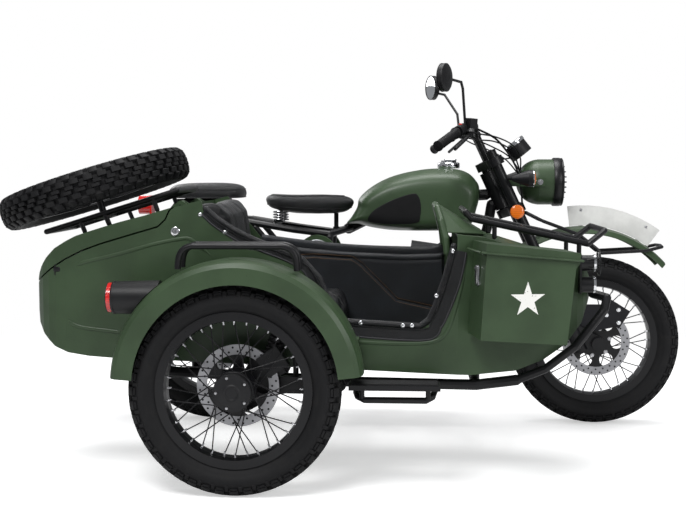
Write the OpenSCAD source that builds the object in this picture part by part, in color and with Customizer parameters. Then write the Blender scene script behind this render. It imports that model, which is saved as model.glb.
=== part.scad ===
// Sidecar motorcycle: a single-cylinder solo machine with a boat-shaped sidecar on its right.
// +X forward, +Y to the rider's left, +Z up, ground at z = 0, in millimetres.
// Pieces are drawn from the ground point under the rear axle and then moved by centre_x, centre_y.

/* [Wheels and stance] */
// Distance between front and rear axles
wheelbase = 1514; // [1480:1:1560]
// Distance between the rear wheel's and the sidecar wheel's mid planes
track = 1117; // [1110:1:1130]
// How far the sidecar axle sits ahead of the rear axle
side_lead = 250; // [230:1:270]
// Rolling radius of every tyre
wheel_r = 330; // [325:1:335]
// Width of a tyre
tyre_w = 110; // [100:1:112]
// Spokes in a wheel
spoke_count = 36; // [24:4:40]

/* [Steering] */
// Lean of the steering axis from vertical, in degrees
rake = 25; // [24:0.5:26]
// Place of the steering axis, between the two yokes
head_x = 1092; // [1085:1:1100]
// Height of that place
head_z = 980; // [970:1:990]
// Half the distance between the fork legs
fork_half = 105; // [102:1:110]
// Fork legs ahead of the steering axis
leg_ahead = 40; // [36:1:44]
// Half the width across the handlebar's grips
bar_half = 385; // [370:1:400]

/* [Sidecar body] */
// Outer, right wall of the tub
tub_right = -960; // [-965:1:-950]
// Inner, left wall of the tub
tub_left = -400; // [-410:1:-395]
// Thickness of the tub's skin
skin = 5; // [4:0.5:7]
// Play around the trunk lid
lid_gap = 5; // [5:0.5:7]
// How far the nose's sides turn in, in degrees
nose_taper = 10; // [8:0.5:11]

/* [Tubes] */
// Radius of the main frame tubes
frame_r = 16; // [14:0.5:18]
// Radius of the rack tubes
rack_r = 8; // [7:0.5:9]
// Radius of the handlebar
bar_r = 11; // [11:0.1:11.2]

/* [Hidden] */
centre_x = 614;   // middle of the whole length, ahead of the rear axle
centre_y = -376;  // middle of the whole width

green = [0.20, 0.24, 0.13];
black = [0.05, 0.05, 0.055];
steel = [0.62, 0.63, 0.65];
leather = [0.07, 0.07, 0.08];
rubber = [0.04, 0.04, 0.04];
white = [0.9, 0.9, 0.88];
red = [0.65, 0.05, 0.04];

run = 0.05;           // radial clearance of a running fit
seat_gap = 0.3;       // rest gap between a piece and what it sits on
rim_seat_r = 229.8;   // where the tyre's beads sit
rim_half = 38;        // half width over the rim's flanges
hub_r = 42;           // hub barrel
flange_r = 62;        // spoke flange of a hub
flange_y = 34;        // spoke flange from the wheel's mid plane
hub_end = flange_y + 3.2;  // outer face of a hub
disc_r = 130;         // brake disc
disc_y = 66;          // brake disc from the wheel's mid plane
axle_r = 10;
sprocket_y = 66;     // chain line from the wheel's mid plane

// ---------- helpers ----------
module place() translate([-centre_x, -centre_y, 0]) children();

// The steered pieces, drawn about the steering axis: +Z up that axis, +X ahead of it.
module steered() place() translate([head_x, 0, head_z]) rotate([0, -rake, 0]) children();

// A round bent tube through the given points, with flats at the same height whatever its number of sides.
module pipe(points, r, sides = 12) {
    ball = r * cos(15) / cos(180 / sides);
    for (i = [0 : len(points) - 2])
        hull() {
            translate(points[i]) sphere(ball, $fn = sides);
            translate(points[i + 1]) sphere(ball, $fn = sides);
        }
}

// The same tube on both sides of the bike.
module pipe_pair(points, r, sides = 12) {
    pipe(points, r, sides);
    pipe([for (p = points) [p[0], -p[1], p[2]]], r, sides);
}

// A straight exact rod between two points.
module rod(a, b, r) {
    d = b - a;
    translate(a) rotate([0, acos(d[2] / norm(d)), atan2(d[1], d[0])]) cylinder(h = norm(d), r = r, $fn = 48);
}

// A split clamp round the tube from a to b, its middle a distance along from a.
module clamp(a, b, along, w) {
    d = (b - a) / norm(b - a);
    difference() {
        rod(a + d * (along - w / 2), a + d * (along + w / 2), frame_r + 9);
        rod(a + d * (along - w / 2 - 1), a + d * (along + w / 2 + 1), frame_r + seat_gap);
    }
}

// A vertical exact post standing at (x, y) between two heights.
module post(x, y, z0, z1, r) translate([x, y, z0]) cylinder(h = z1 - z0, r = r, $fn = 48);

// A cylinder along Y, centred on y = 0.
module drum(r, w) rotate([90, 0, 0]) cylinder(h = w, r = r, center = true, $fn = 96);

// A flat outline in X and Z, drawn between y0 and y1.
module slab(outline, y0, y1) translate([0, y1, 0]) rotate([90, 0, 0]) linear_extrude(y1 - y0) polygon(outline);

// A profile of (radius, y) swept about the Y axis, from angle a0 above +X to a1.
module sweep_y(profile, a0, a1)
    rotate([90, 0, 0]) rotate([0, 0, a0]) rotate_extrude(angle = a1 - a0, $fn = 96)
        polygon([for (p = profile) [p[0], -p[1]]]);

// Height on an outline of (x, z) points, at x.
function height_at(x, outline) = lookup(x, outline);

// Height at which the end of a pipe of radius r rests on that outline.
function rest_z(x, outline, r) =
    height_at(x, outline) + 0.98 * r * norm([1, (height_at(x + r, outline) - height_at(x - r, outline)) / (2 * r)]) + seat_gap;

function arc(cx, cy, r, a0, a1, n) = [for (i = [0 : n]) let (a = a0 + (a1 - a0) * i / n) [cx + r * cos(a), cy + r * sin(a)]];

// ---------- wheels ----------
module tyre_shape() {
    crown = wheel_r;
    half = tyre_w / 2;
    profile = [
        [230, -32.4], [246, -33.1], [262, -0.86 * half], [282, -half], [302, -half + 1], [316, -0.86 * half],
        [crown - 3, -0.5 * half], [crown, -0.2 * half], [crown, 0.2 * half], [crown - 3, 0.5 * half],
        [316, 0.86 * half], [302, half - 1], [282, half], [262, 0.86 * half], [246, 33.1], [230, 32.4]];
    rotate([90, 0, 0]) rotate_extrude($fn = 96) polygon(profile);
}

module rim_shape() {
    profile = [
        [212, -14], [216, -rim_half], [243, -rim_half], [243, -33.5], [rim_seat_r, -32.8],
        [rim_seat_r - 2, -24], [218, -16], [218, 16], [rim_seat_r - 2, 24],
        [rim_seat_r, 32.8], [243, 33.5], [243, rim_half], [216, rim_half], [212, 14]];
    rotate([90, 0, 0]) rotate_extrude($fn = 96) polygon(profile);
}

// Laced spokes: each leaves a flange at a slant and ends just short of the rim.
module spokes_shape() {
    for (i = [0 : spoke_count - 1]) {
        side = (i % 2 == 0) ? 1 : -1;
        slant = (floor(i / 2) % 2 == 0) ? 1 : -1;
        a = i * 360 / spoke_count;
        start = [(flange_r + 0.4) * cos(a - slant * 38), side * flange_y, (flange_r + 0.4) * sin(a - slant * 38)];
        end = [211.2 * cos(a), side * 9, 211.2 * sin(a)];
        rod(start, end, 1.9);
    }
}

module hub_shape(disc_side, disc_y) {
    difference() {
        union() {
            drum(hub_r, 2 * flange_y - 6);
            for (s = [-1, 1]) translate([0, s * flange_y, 0]) drum(flange_r, 6);
            translate([0, disc_side * (flange_y + 2 + (disc_y - flange_y) / 2), 0]) drum(hub_r + 4, disc_y - flange_y);
            translate([0, disc_side * disc_y, 0]) difference() {
                drum(disc_r, 5);
                for (a = [0 : 60 : 300]) rotate([0, a, 0]) translate([80, 0, 0]) drum(26, 7);
            }
        }
        drum(axle_r + run, 300);
    }
}

module wheel_shape(disc_side, disc_y) {
    rim_shape();
    spokes_shape();
    hub_shape(disc_side, disc_y);
}

module front_tyre() color(rubber) place() translate([wheelbase, 0, wheel_r]) tyre_shape();
module front_wheel() color(black) place() translate([wheelbase, 0, wheel_r]) wheel_shape(-1, disc_y);
module rear_tyre() color(rubber) place() translate([0, 0, wheel_r]) tyre_shape();
module rear_wheel() color(black) place() translate([0, 0, wheel_r]) {
    wheel_shape(-1, disc_y);
    difference() {
        union() {
            translate([0, sprocket_y, 0]) drum(95, 6);
            translate([0, (hub_end + sprocket_y + 3) / 2 - 0.5, 0]) drum(38, sprocket_y + 3 - hub_end + 1);
        }
        drum(axle_r + run, 300);
    }
}
module side_tyre() color(rubber) place() translate([side_lead, -track, wheel_r]) tyre_shape();
module side_wheel() color(black) place() translate([side_lead, -track, wheel_r]) {
    wheel_shape(1, disc_y - 4);
    translate([0, -hub_end - 18, 0]) drum(58, 36);
}

// ---------- the motorcycle ----------
backbone = [[1083, 0, 905], [1000, 0, 900], [860, 0, 880], [640, 0, 820], [540, 0, 770]];
backbone_r = 22;
rail_y = 118;
rail_r = 13;
head_r = 29;

module frame() color(black) difference() {
    frame_tubes();
    steered() translate([0, 0, -145]) cylinder(h = 165, r = head_r + seat_gap, $fn = 64);
}

module frame_tubes() place() {
    pipe(backbone, backbone_r, 10);
    pipe([[1106, 0, 866], [1094, 0, 790], [1070, 0, 700]], 20, 10);
    pipe_pair([[1070, 0, 700], [1062, 95, 560], [1048, 120, 400], [1012, 125, 270], [940, 125, 235],
               [620, 125, 235], [520, 125, 270], [470, 120, 420], [460, 118, 600], [470, 110, 742]], frame_r, 10);
    pipe_pair([[560, 0, 775], [470, 110, 752], [330, rail_y, 770], [150, rail_y, 800], [-40, 112, 812],
               [-230, 60, 810], [-236, 0, 810]], rail_r, 10);
    pipe_pair([[470, 120, 430], [330, 119, 600], [180, rail_y, 780]], 11, 10);
    pipe([[470, -120, 450], [470, 120, 450]], 16, 10);
    pipe([[120, -rail_y, 792], [120, rail_y, 792]], 11, 10);
    pipe([[255, -rail_y, 788], [255, rail_y, 788]], 10, 10);
    pipe([[490, -84, 757], [490, 84, 757]], 11, 10);
    pipe_pair([[60, 112, 808], [50, 84, 880], [-130, 84, 880], [-180, 84, 815]], 9, 10);
    pipe([[50, 84, 880], [50, -84, 880]], 9, 10);
}

module head_tube() color(black) steered()
    translate([0, 0, -140]) difference() {
        cylinder(h = 155, r = head_r, $fn = 64);
        translate([0, 0, -1]) cylinder(h = 157, r = 17 + run, $fn = 64);
    }

cradle_top = 235 + frame_r;

module engine() color([0.16, 0.16, 0.17]) place() {
    translate([580, -98, 280]) cube([400, 196, 180]);
    translate([620, 0, 355]) drum(88, 300);
    translate([850, 0, 360]) drum(84, 280);
    for (x = [645, 905]) translate([x, -135, cradle_top + seat_gap]) cube([30, 270, 31]);
    translate([840, 0, 455]) rotate([0, 8, 0]) {
        cylinder(h = 240, r = 62, $fn = 64);
        for (i = [0 : 8]) translate([-80, -80, 18 + i * 17]) cube([160, 160, 6]);
        translate([-85, -85, 172]) cube([170, 170, 82]);
    }
    translate([560, -70, 450]) cube([170, 140, 40]);
}

muffler_y = 207;

module exhaust() color(steel) place() {
    pipe([[972, 40, 640], [1012, 100, 600], [1030, 166, 480], [1000, 170, 300], [900, 172, 222], [600, 180, 225],
          [420, 196, 300], [330, muffler_y, 330]], 20);
    pipe([[330, muffler_y, 330], [120, muffler_y, 372], [-260, muffler_y, 440]], 42);
}

tank_side = [
    [535, 790], [553, 817], [575, 855], [582, 887], [604, 913], [636, 938], [674, 960], [712, 976], [756, 989],
    [794, 997], [845, 1005], [896, 1008], [940, 1008], [985, 1001], [1017, 986], [1041, 962], [1055, 935],
    [1054, 890], [1045, 850], [1022, 786], [960, 766], [745, 764], [640, 775], [581, 790]];

module fuel_tank() color(green) place() difference() {
    hull() {
        slab(tank_side, -52, 52);
        slab([for (p = tank_side) [800 + (p[0] - 800) * 0.93, 860 + (p[1] - 860) * 0.84]], -118, 118);
        slab([for (p = tank_side) [800 + (p[0] - 800) * 0.80, 850 + (p[1] - 850) * 0.55]], -142, 142);
    }
    slab(concat([for (p = backbone) [p[0], p[2] + 1.12 * backbone_r + 2]], [[505, 796], [505, 700], [1083, 700]]),
         -backbone_r - 3, backbone_r + 3);
}

module filler_cap() color(steel) place() translate([936, 0, 1008 + seat_gap]) {
    cylinder(h = 22, r = 42, $fn = 64);
    translate([0, 0, 22]) cylinder(h = 9, r = 30, $fn = 64);
}

module rider_seat() color(leather) place() {
    hull() {
        translate([330, 0, 862]) cylinder(h = 44, r = 128, $fn = 48);
        translate([516, 0, 852]) cylinder(h = 44, r = 48, $fn = 32);
        translate([240, 0, 840]) cylinder(h = 62, r = 30, $fn = 32);
        translate([330, 0, 828]) cylinder(h = 52, r = 104, $fn = 48);
    }
    for (s = [-1, 1]) post(268, s * 70, 798 + seat_gap, 860, 19);
    post(490, 0, 757 + 11 + seat_gap, 875, 13);
}

module pillion_seat() color(leather) place() hull() {
    for (x = [-135, 85], y = [-88, 88]) translate([x, y, 889 + seat_gap]) {
        cylinder(h = 46, r = 42, $fn = 32);
        cylinder(h = 62, r = 26, $fn = 32);
    }
}

fender_z = wheel_r + 20;   // the rear fender's centre
rear_crown = 398;

module rear_fender() color(green) place() translate([0, 0, fender_z]) {
    w = 72;
    sweep_y([[366, -w], [372, -w], [388, -w + 20], [396, -30], [rear_crown, 0], [396, 30], [388, w - 20], [372, w],
             [366, w], [366, w - 4], [371, w - 5], [384, w - 23], [392, 28], [394, 0], [392, -28],
             [384, -w + 23], [371, -w + 5], [366, -w + 4]], 15, 172);
    post(120, 0, sqrt(rear_crown * rear_crown - 120 * 120) - 2, 781 - fender_z - seat_gap, 9);
    post(-236, 0, sqrt(rear_crown * rear_crown - 236 * 236) - 4, 797 - fender_z - seat_gap, 9);
}

module tail_lamp() color(red) place() {
    translate([-256, -34, 790]) cube([256 - 236 - rail_r - seat_gap, 68, 110]);
    translate([-255.9, 0, 862]) rotate([0, -90, 0]) cylinder(h = 48, r = 38, $fn = 64);
}

plate_x = -404;

module plate_bracket() color(black) place() difference() {
    union() {
        translate([plate_x, -95, 520]) cube([4, 190, 110]);
        translate([plate_x + 3, -18, 552]) cube([80, 36, 6]);
    }
    for (y = [-70, 70]) translate([plate_x - 6, y, 600]) rotate([0, 90, 0]) cylinder(h = 20, r = 3.25, $fn = 32);
    translate([0, 0, fender_z]) drum(rear_crown + seat_gap, 300);
}

arm_y = 92;

module swing_arm() color(black) place() {
    difference() {
        union() {
            for (s = [-1, 1]) {
                translate([-45, s * arm_y - 14, wheel_r - 26]) cube([470, 28, 52]);
                translate([0, s * arm_y, wheel_r]) drum(38, 28);
            }
            translate([395, -106, wheel_r - 26]) cube([58, 212, 52]);
        }
        translate([0, 0, wheel_r]) drum(axle_r, 240);
    }
    translate([0, 0, wheel_r]) drum(axle_r, 240);
    for (s = [-1, 1]) translate([0, s * 116, wheel_r]) rotate([90, 0, 0]) cylinder(h = 16, r = 17, center = true, $fn = 6);
}

module chain_guard() color(black) place()
    slab([[-20, 440], [130, 444], [392, 388], [392, 330], [384, 330], [384, 380], [130, 435], [-20, 431]],
         sprocket_y - 7, arm_y - 14 - seat_gap);

shock_y = 145;
side_shock_y = -1008;
side_shock_low = [334, side_shock_y, 374];
side_shock_high = [408, side_shock_y, 590];
side_pin_r = 7;

module shock_absorbers() color(black) place() {
    for (s = [-1, 1]) {
        rod([30, s * shock_y, 340], [134, s * shock_y, 797], 13);
        rod([52, s * shock_y, 440], [114, s * shock_y, 706], 29);
        translate([30, s * (106 + seat_gap + 20), 340]) drum(9, 40);
        translate([134, s * (rail_y + rail_r + seat_gap + 14), 797]) drum(16, 28);
    }
    difference() {
        union() {
            rod(side_shock_low, side_shock_high, 9.5);
            rod([352, side_shock_y, 420], [396, side_shock_y, 550], 25);
            for (p = [side_shock_low, side_shock_high]) translate(p) drum(15, 20);
        }
        for (p = [side_shock_low, side_shock_high]) translate(p) drum(side_pin_r + seat_gap, 60);
    }
}

cover_x = 425;
cover_z = 674;

module side_covers() color(green) place()
    for (s = [-1, 1]) translate([cover_x, 0, cover_z]) {
        translate([0, s * (133.7 + 14), 0]) drum(77, 28);
        translate([0, s * 166, 0]) drum(62, 8);
    }

module footrests() color(black) place() {
    z = cradle_top + 12 + seat_gap;
    rod([700, -235, z], [700, 235, z], 12);
    for (s = [-1, 1]) translate([700, s * 190, z + 1]) drum(19, 88);
}

stem_r = 17;
slider_r = 27;
axle_ahead = (wheelbase - head_x) * cos(rake) + (wheel_r - head_z) * sin(rake);   // the axle seen from the steering axis
axle_down = (head_x - wheelbase) * sin(rake) + (wheel_r - head_z) * cos(rake);
yoke_low = -176;
yoke_high = 25;
yoke_t = 32;

module yoke() difference() {
    union() {
        cylinder(h = yoke_t, r = 31, $fn = 64);
        for (s = [-1, 1]) translate([leg_ahead, s * fork_half, 0]) cylinder(h = yoke_t, r = 33, $fn = 64);
        linear_extrude(yoke_t) polygon([
            [-22, -18], [leg_ahead - 28, -fork_half + 6], [leg_ahead + 26, -fork_half + 6],
            [leg_ahead + 26, fork_half - 6], [leg_ahead - 28, fork_half - 6], [-22, 18]]);
    }
}

module fork() color(black) {
    steered() {
        translate([0, 0, yoke_low]) cylinder(h = yoke_high + yoke_t - yoke_low, r = stem_r, $fn = 64);
        for (z = [yoke_low, yoke_high]) translate([0, 0, z]) yoke();
        for (s = [-1, 1]) translate([leg_ahead, s * fork_half, 0]) {
            translate([0, 0, -560]) cylinder(h = 648, r = 20.5, $fn = 64);
            translate([0, 0, axle_down]) cylinder(h = 340, r = slider_r, $fn = 64);
        }
        for (s = [-1, 1])
            slab([[leg_ahead - 20, axle_down + 8], [axle_ahead - 30, axle_down - 26], [axle_ahead + 12, axle_down - 25],
                  [axle_ahead + 26, axle_down + 8], [axle_ahead + 4, axle_down + 38], [leg_ahead + 20, axle_down + 110]],
                 s * fork_half - 13, s * fork_half + 13);
    }
    place() translate([wheelbase, 0, wheel_r]) {
        drum(axle_r, 2 * fork_half + 60);
        for (s = [-1, 1]) translate([0, s * (fork_half + 9), 0]) drum(26, 46);
    }
}

caliper_angle = 58;

module front_caliper() color(black) place() translate([wheelbase, 0, wheel_r]) difference() {
    union() {
        rotate([0, -caliper_angle, 0]) translate([92, -disc_y - 23, -42]) cube([80, 40, 84]);
        slab([[-82, 150], [-96, 80], [-20, 44], [60, 60], [110, 116], [30, 150]], -disc_y - 21, -disc_y - 14);
    }
    translate([0, -disc_y, 0]) drum(disc_r + 8, 16);
}

arch_x = 1465;    // the front fender's centre
arch_z = 353;
arch_top = 429;

module front_fender() color(green) place() translate([arch_x, 0, arch_z]) {
    w = 70;
    t = arch_top;
    sweep_y([[t - 28, -w], [t - 24, -w], [t - 8, -w + 12], [t - 1, -25], [t, 0], [t - 1, 25], [t - 8, w - 12],
             [t - 24, w], [t - 28, w], [t - 28, w - 4], [t - 24, w - 4], [t - 11, w - 15], [t - 5, 24],
             [t - 4, 0], [t - 5, -24], [t - 11, -w + 15], [t - 24, -w + 4], [t - 28, -w + 4]], 42, 125);
}

module fender_stays() color(black) place() {
    y = 70 + 0.97 * 6.5 + seat_gap;
    pipe_pair([[1232.6, 105, 838], [1300, 94, 804], [1440, y + 2, 752], [1530, y, 680], [1700, y, 690], [1762, 62, 704],
               [1768, 0, 706]], 6.5);
}

module front_plate() color(white) place() translate([arch_x, 0, arch_z]) {
    sweep_y([[431, -1.5], [510, -1.5], [510, 1.5], [431, 1.5]], 54, 97);
    difference() {
        for (a = [60, 91]) rotate([0, -a, 0]) translate([arch_top - 2, 1.5 + seat_gap, -9]) cube([30, 6, 18]);
        drum(arch_top + 0.2, 60);
    }
}

bar_ahead = 20;    // handlebar clamp from the steering axis
bar_up = 165;

module handlebar() color(black) {
    steered() {
        for (s = [-1, 1]) translate([bar_ahead, s * 35, yoke_high + yoke_t]) {
            cylinder(h = 98, r = 15, $fn = 48);
            translate([0, 0, bar_up - yoke_high - yoke_t]) drum(19, 28);
        }
        translate([bar_ahead, 0, bar_up]) drum(bar_r, 130);
    }
    place() for (s = [-1, 1]) {
        bar = [[1040, s * 64, 1138], [1034, s * 120, 1172], [1010, s * 180, 1172], [958, s * 258, 1143]];
        pipe(bar, bar_r);
        rod([958, s * 258, 1143], [885, s * bar_half, 1089], 17);
    }
}

// Switch pods with lever perches, the brake fluid cup on the right and a lever on each side.
module controls() color(black) place() for (s = [-1, 1]) {
    rod([985, s * 218, 1158], [962, s * 252, 1145.5], 21);
    rod([990, s * 214, 1142], [1012, s * 232, 1134], 11);
    rod([1010, s * 230, 1135], [948, s * (bar_half - 22), 1078], 6);
    if (s < 0) translate([1010, -222, 1178]) rotate([0, 6, -56]) cube([44, 32, 36], center = true);
}

mirror_stems = [
    [[990, -226, 1168], [979, -250, 1304], [972, -262, 1328], [935, -340, 1332], [908, -381, 1335]],
    [[985, 226, 1168], [978, 250, 1233], [927, 330, 1318], [893, 385, 1329], [880, 397, 1345]]];
mirror_heads = [[906, -385, 1336], [876, 400, 1352]];

module mirrors() color(black) place() for (i = [0, 1]) {
    for (k = [0 : 3]) {
        rod(mirror_stems[i][k], mirror_stems[i][k + 1], 5);
        translate(mirror_stems[i][k + 1]) sphere(5.5, $fn = 24);
    }
    translate(mirror_heads[i]) rotate([0, 90, i == 0 ? -24 : 24]) translate([0, 0, -8]) cylinder(h = 16, r = 51, $fn = 64);
}

lamp_x = 1345;
lamp_z = 955;

module headlamp() color(green) place() translate([lamp_x, 0, lamp_z]) {
    rotate([0, -90, 0]) cylinder(h = 60, r = 89, $fn = 96);
    intersection() {
        translate([-55, 0, 0]) sphere(88.5, $fn = 96);
        translate([-150, -100, -100]) cube([96, 200, 200]);
    }
    rotate([0, 90, 0]) cylinder(h = 22, r = 93, $fn = 96);
    for (s = [-1, 1]) slab([[-170.3, -16], [-185.2, 16], [-38, 16], [-38, -16]], s * 90.5 - 3, s * 90.5 + 3);
}

pod_x = 1191;
pod_z = 1107;
pod_tilt = 39;

module gauge_pod() color(black) place() {
    translate([pod_x, 0, pod_z]) rotate([0, -pod_tilt, 0]) translate([0, 0, -58]) cylinder(h = 58, r = 42, $fn = 64);
    translate([1137.2, -20, 1040]) rotate([0, -8, 0]) cube([80, 40, 6]);
}

module indicators() color(black) place() for (s = [-1, 1]) {
    translate([1172, s * 162, 970]) rotate([0, 90, 0]) cylinder(h = 62, r1 = 10, r2 = 32, $fn = 64);
    translate([1233.9, s * 162, 970]) rotate([0, 90, 0]) cylinder(h = 20, r = 32, $fn = 64);
    rod([1158, s * 117, 970], [1205, s * 150, 970], 7);
}

// ---------- the sidecar ----------
// Outlines are points of (x, z) on the tub's side.
belly = [
    [-444, 600], [-442, 548], [-429, 507], [-405, 470], [-365, 434], [-318, 414], [-250, 403], [-180, 398],
    [300, 380], [820, 358], [980, 352], [1124, 363], [1215, 397], [1286, 446], [1338, 513], [1366, 592],
    [1374, 640], [1352, 690]];
deck = [[1352, 690], [1024, 790], [936, 800]];
entry_edge = [
    [128, 869], [163, 838], [218, 802], [282, 771], [436, 710], [487, 653], [538, 531], [580, 509],
    [820, 495], [858, 521], [883, 575], [914, 671], [936, 760]];
lid_line = [
    [34, 885], [20, 874], [6, 844], [-20, 820], [-109, 794], [-206, 765], [-269, 742], [-323, 715], [-372, 684],
    [-440, 633]];
lid_top = [
    [-441, 645], [-429, 664], [-417, 688], [-394, 719], [-361, 751], [-322, 775], [-289, 792], [-251, 805],
    [-196, 822], [-142, 838], [-61, 859], [26, 884.5]];
divider_x = 65;      // rear face of the wall between trunk and cockpit
taper_start = 940;   // where the nose begins to narrow
nose_r = 90;
nose_cx = 1284;
mid_y = (tub_left + tub_right) / 2;

function wall_y(x) = tub_right + max(0, x - taper_start) * tan(nose_taper);
function left_wall_y(x) = tub_left - max(0, x - taper_start) * tan(nose_taper);

// A line moved sideways by d, to the left of its direction of travel.
function unit(v) = v / norm(v);
function travel(p, i) = unit(p[min(i + 1, len(p) - 1)] - p[max(i - 1, 0)]);
function offset_line(p, d) = [for (i = [0 : len(p) - 1]) p[i] + d * [-travel(p, i)[1], travel(p, i)[0]]];

belly_in = offset_line(belly, skin);
lid_in = offset_line(lid_top, -skin);

nose_cy = wall_y(nose_cx) + nose_r / cos(nose_taper);
nose_left_cy = left_wall_y(nose_cx) - nose_r / cos(nose_taper);
tail_r = 120;
tail_cx = belly[0][0] + tail_r;
plan = concat(
    arc(tail_cx, tub_left - tail_r, tail_r, 180, 90, 6), [[taper_start, tub_left]],
    arc(nose_cx, nose_left_cy, nose_r, 90 - nose_taper, 0, 5), arc(nose_cx, nose_cy, nose_r, 0, nose_taper - 90, 5),
    [[taper_start, tub_right]], arc(tail_cx, tub_right + tail_r, tail_r, -90, -180, 6));
plan_half = (tub_left - tub_right) / 2;
plan_cx = (belly[0][0] + 1374) / 2;
plan_in = [for (p = plan) [plan_cx + (p[0] - plan_cx) * (1 - skin / (1374 - plan_cx)), mid_y + (p[1] - mid_y) * (1 - skin / plan_half)]];

module tub_outer() intersection() {
    slab(concat(belly, deck, [[936, 764], [880, 716], [760, 711], [530, 721], [383, 736], [243, 753], [118, 907]],
                lid_line), tub_right - 1, tub_left + 1);
    translate([0, 0, 300]) linear_extrude(700) polygon(plan);
}

module tub_inner() intersection() {
    union() {
        slab(concat([for (p = belly_in) if (p[0] < divider_x) p],
                    [[divider_x, 394], [divider_x, 887], [34, 879], [28, 866], [28, 1000], [-439, 1000]]),
             tub_right, tub_left);
        slab(concat([[divider_x + skin, 394]], [for (p = belly_in) if (p[0] > divider_x) p],
                    [[1022, 785], [931, 794], [931, 1000], [divider_x + skin, 1000]]), tub_right, tub_left);
    }
    translate([0, 0, 300]) linear_extrude(720) polygon(plan_in);
}

hinge_x = 32;        // the trunk lid's hinge pin
hinge_z = 896;
pin_r = 3;
hinge_ys = [mid_y - 140, mid_y + 140];

module tub() color(green) place() {
    difference() {
        tub_outer();
        tub_inner();
        slab(concat([[118, 930]], entry_edge, [[936, 930]]), tub_right - 20, tub_right + 60);
    }
    for (y = hinge_ys) {
        translate([hinge_x, y, hinge_z]) drum(pin_r, 52);
        for (s = [-1, 1]) translate([hinge_x, y + s * 21, hinge_z]) {
            drum(7, 10);
            slab([[0, -4], [8, -12], [24, -7], [4, 6]], -5, 5);
        }
    }
}

lining_t = 28;

module cockpit_lining() color(leather) place() {
    slab([[265, 425], [900, 400], [920, 560], [912, 706], [880, 698], [760, 694], [530, 704], [383, 718], [265, 732]],
         tub_left - skin - seat_gap - lining_t, tub_left - skin - seat_gap);
}

trim_r = 11;

module entry_trim() color(black) place()
    pipe([for (p = offset_line(entry_edge, trim_r + seat_gap)) [p[0], tub_right + trim_r, p[1]]], trim_r);

seat_low_y = tub_right + 2 * trim_r + seat_gap;
seat_high_y = tub_left - skin - 2 * seat_gap - lining_t;
seat_mid = (seat_low_y + seat_high_y) / 2;
seat_w = seat_high_y - seat_low_y;
seat_rear = divider_x + skin + seat_gap;
seat_joint = 255;

module roll(x, z, r) translate([x, seat_mid, z]) drum(r, seat_w);

module seat_back() color(leather) place() hull() {
    roll(seat_rear + 33, 872, 33);
    roll(150, 880, 34);
    roll(seat_joint - 40, 470, 40);
    roll(seat_rear + 39, 460, 39);
}

module seat_cushion() color(leather) place() hull() {
    roll(seat_joint + seat_gap + 32, 540, 32);
    roll(530, 545, 32);
    roll(535, 414, 26);
    roll(seat_joint + seat_gap + 26, height_at(seat_joint, belly_in) + 28, 26);
}

hoop_r = 12;

module cowl() color(green) place() {
    pipe([[905, -922, 742], [900, -922, 785], [886, -903, 840], [874, -862, 880], [874, -498, 880], [886, -455, 840],
          [900, -430, 785], [905, -428, 742]], hoop_r);
    slab([[874, 884], [874, 890], [1032, 796], [1024, 791]], mid_y - 182, mid_y + 182);
    for (s = [-1, 1]) hull() {
        translate([876, mid_y + s * 182, 886]) sphere(3, $fn = 12);
        translate([900, mid_y + s * 238, 807]) sphere(3, $fn = 12);
        translate([1022, mid_y + s * 182, 798]) sphere(3, $fn = 12);
        translate([960, mid_y + s * 236, 804]) sphere(3, $fn = 12);
    }
}

deck_line = [[936, 800], [1024, 790], [1352, 690]];
rack_back = [985, 846];
rack_front = [1362, 765];

function rack_z(x) = rack_back[1] + (x - rack_back[0]) * (rack_front[1] - rack_back[1]) / (rack_front[0] - rack_back[0]);
function rack_y(x, s) = mid_y + s * (180 - (x - rack_back[0]) * 0.06);

module nose_rack() color(black) place() {
    for (s = [-1, 1]) {
        pipe([[966, rack_y(966, s), 868], [985, rack_y(985, s), rack_z(985)], [1362, rack_y(1362, s), rack_z(1362)],
              [1415, rack_y(1415, s), 808]], rack_r + 2);
        for (x = [1059, 1333])
            pipe([[x, rack_y(x, s), rack_z(x)], [x, rack_y(x, s), rest_z(x, deck_line, rack_r)]], rack_r);
    }
    for (e = [[966, 868], [1415, 808]])
        pipe([[e[0], rack_y(e[0], -1), e[1]], [e[0], rack_y(e[0], 1), e[1]]], rack_r + 2);
    for (x = [1045, 1172, 1300])
        pipe([[x, rack_y(x, -1), rack_z(x)], [x, rack_y(x, 1), rack_z(x)]], rack_r - 1);
}

// The side box stands off the nose's wall and lies along it.
box_x = 985;
box_off = 16;
box_w = 170;
box_skin = 3;
box_front = [298, 723];   // the lid's hinge pin, along the box and up
box_pin = 2.5;

module box_frame() place() translate([box_x, wall_y(box_x) - box_off, 0]) rotate([0, 0, nose_taper]) children();

module ammo_box() color(green) box_frame() {
    difference() {
        slab([[-14, 490], [256, 471], [284, 738], [4, 766]], -box_w, 0);
        slab([[-11, 493], [253, 474], [281, 738], [283, 800], [7, 800]], box_skin - box_w, -box_skin);
    }
    for (x = [25, 185]) translate([x, -1, 520]) cube([30, box_off * cos(nose_taper) - seat_gap + 1, 120]);
    for (y = [-45, -box_w + 45]) {
        translate([box_front[0], y, box_front[1]]) drum(box_pin, 36);
        for (s = [-1, 1]) {
            slab([for (p = [[-20, -28], [-12, -26], [4, -4], [4, 3], [-4, 4], [-9, -2], [-19, -17]])
                  box_front + p], y + s * 15 - 3, y + s * 15 + 3);
        }
    }
}

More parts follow.
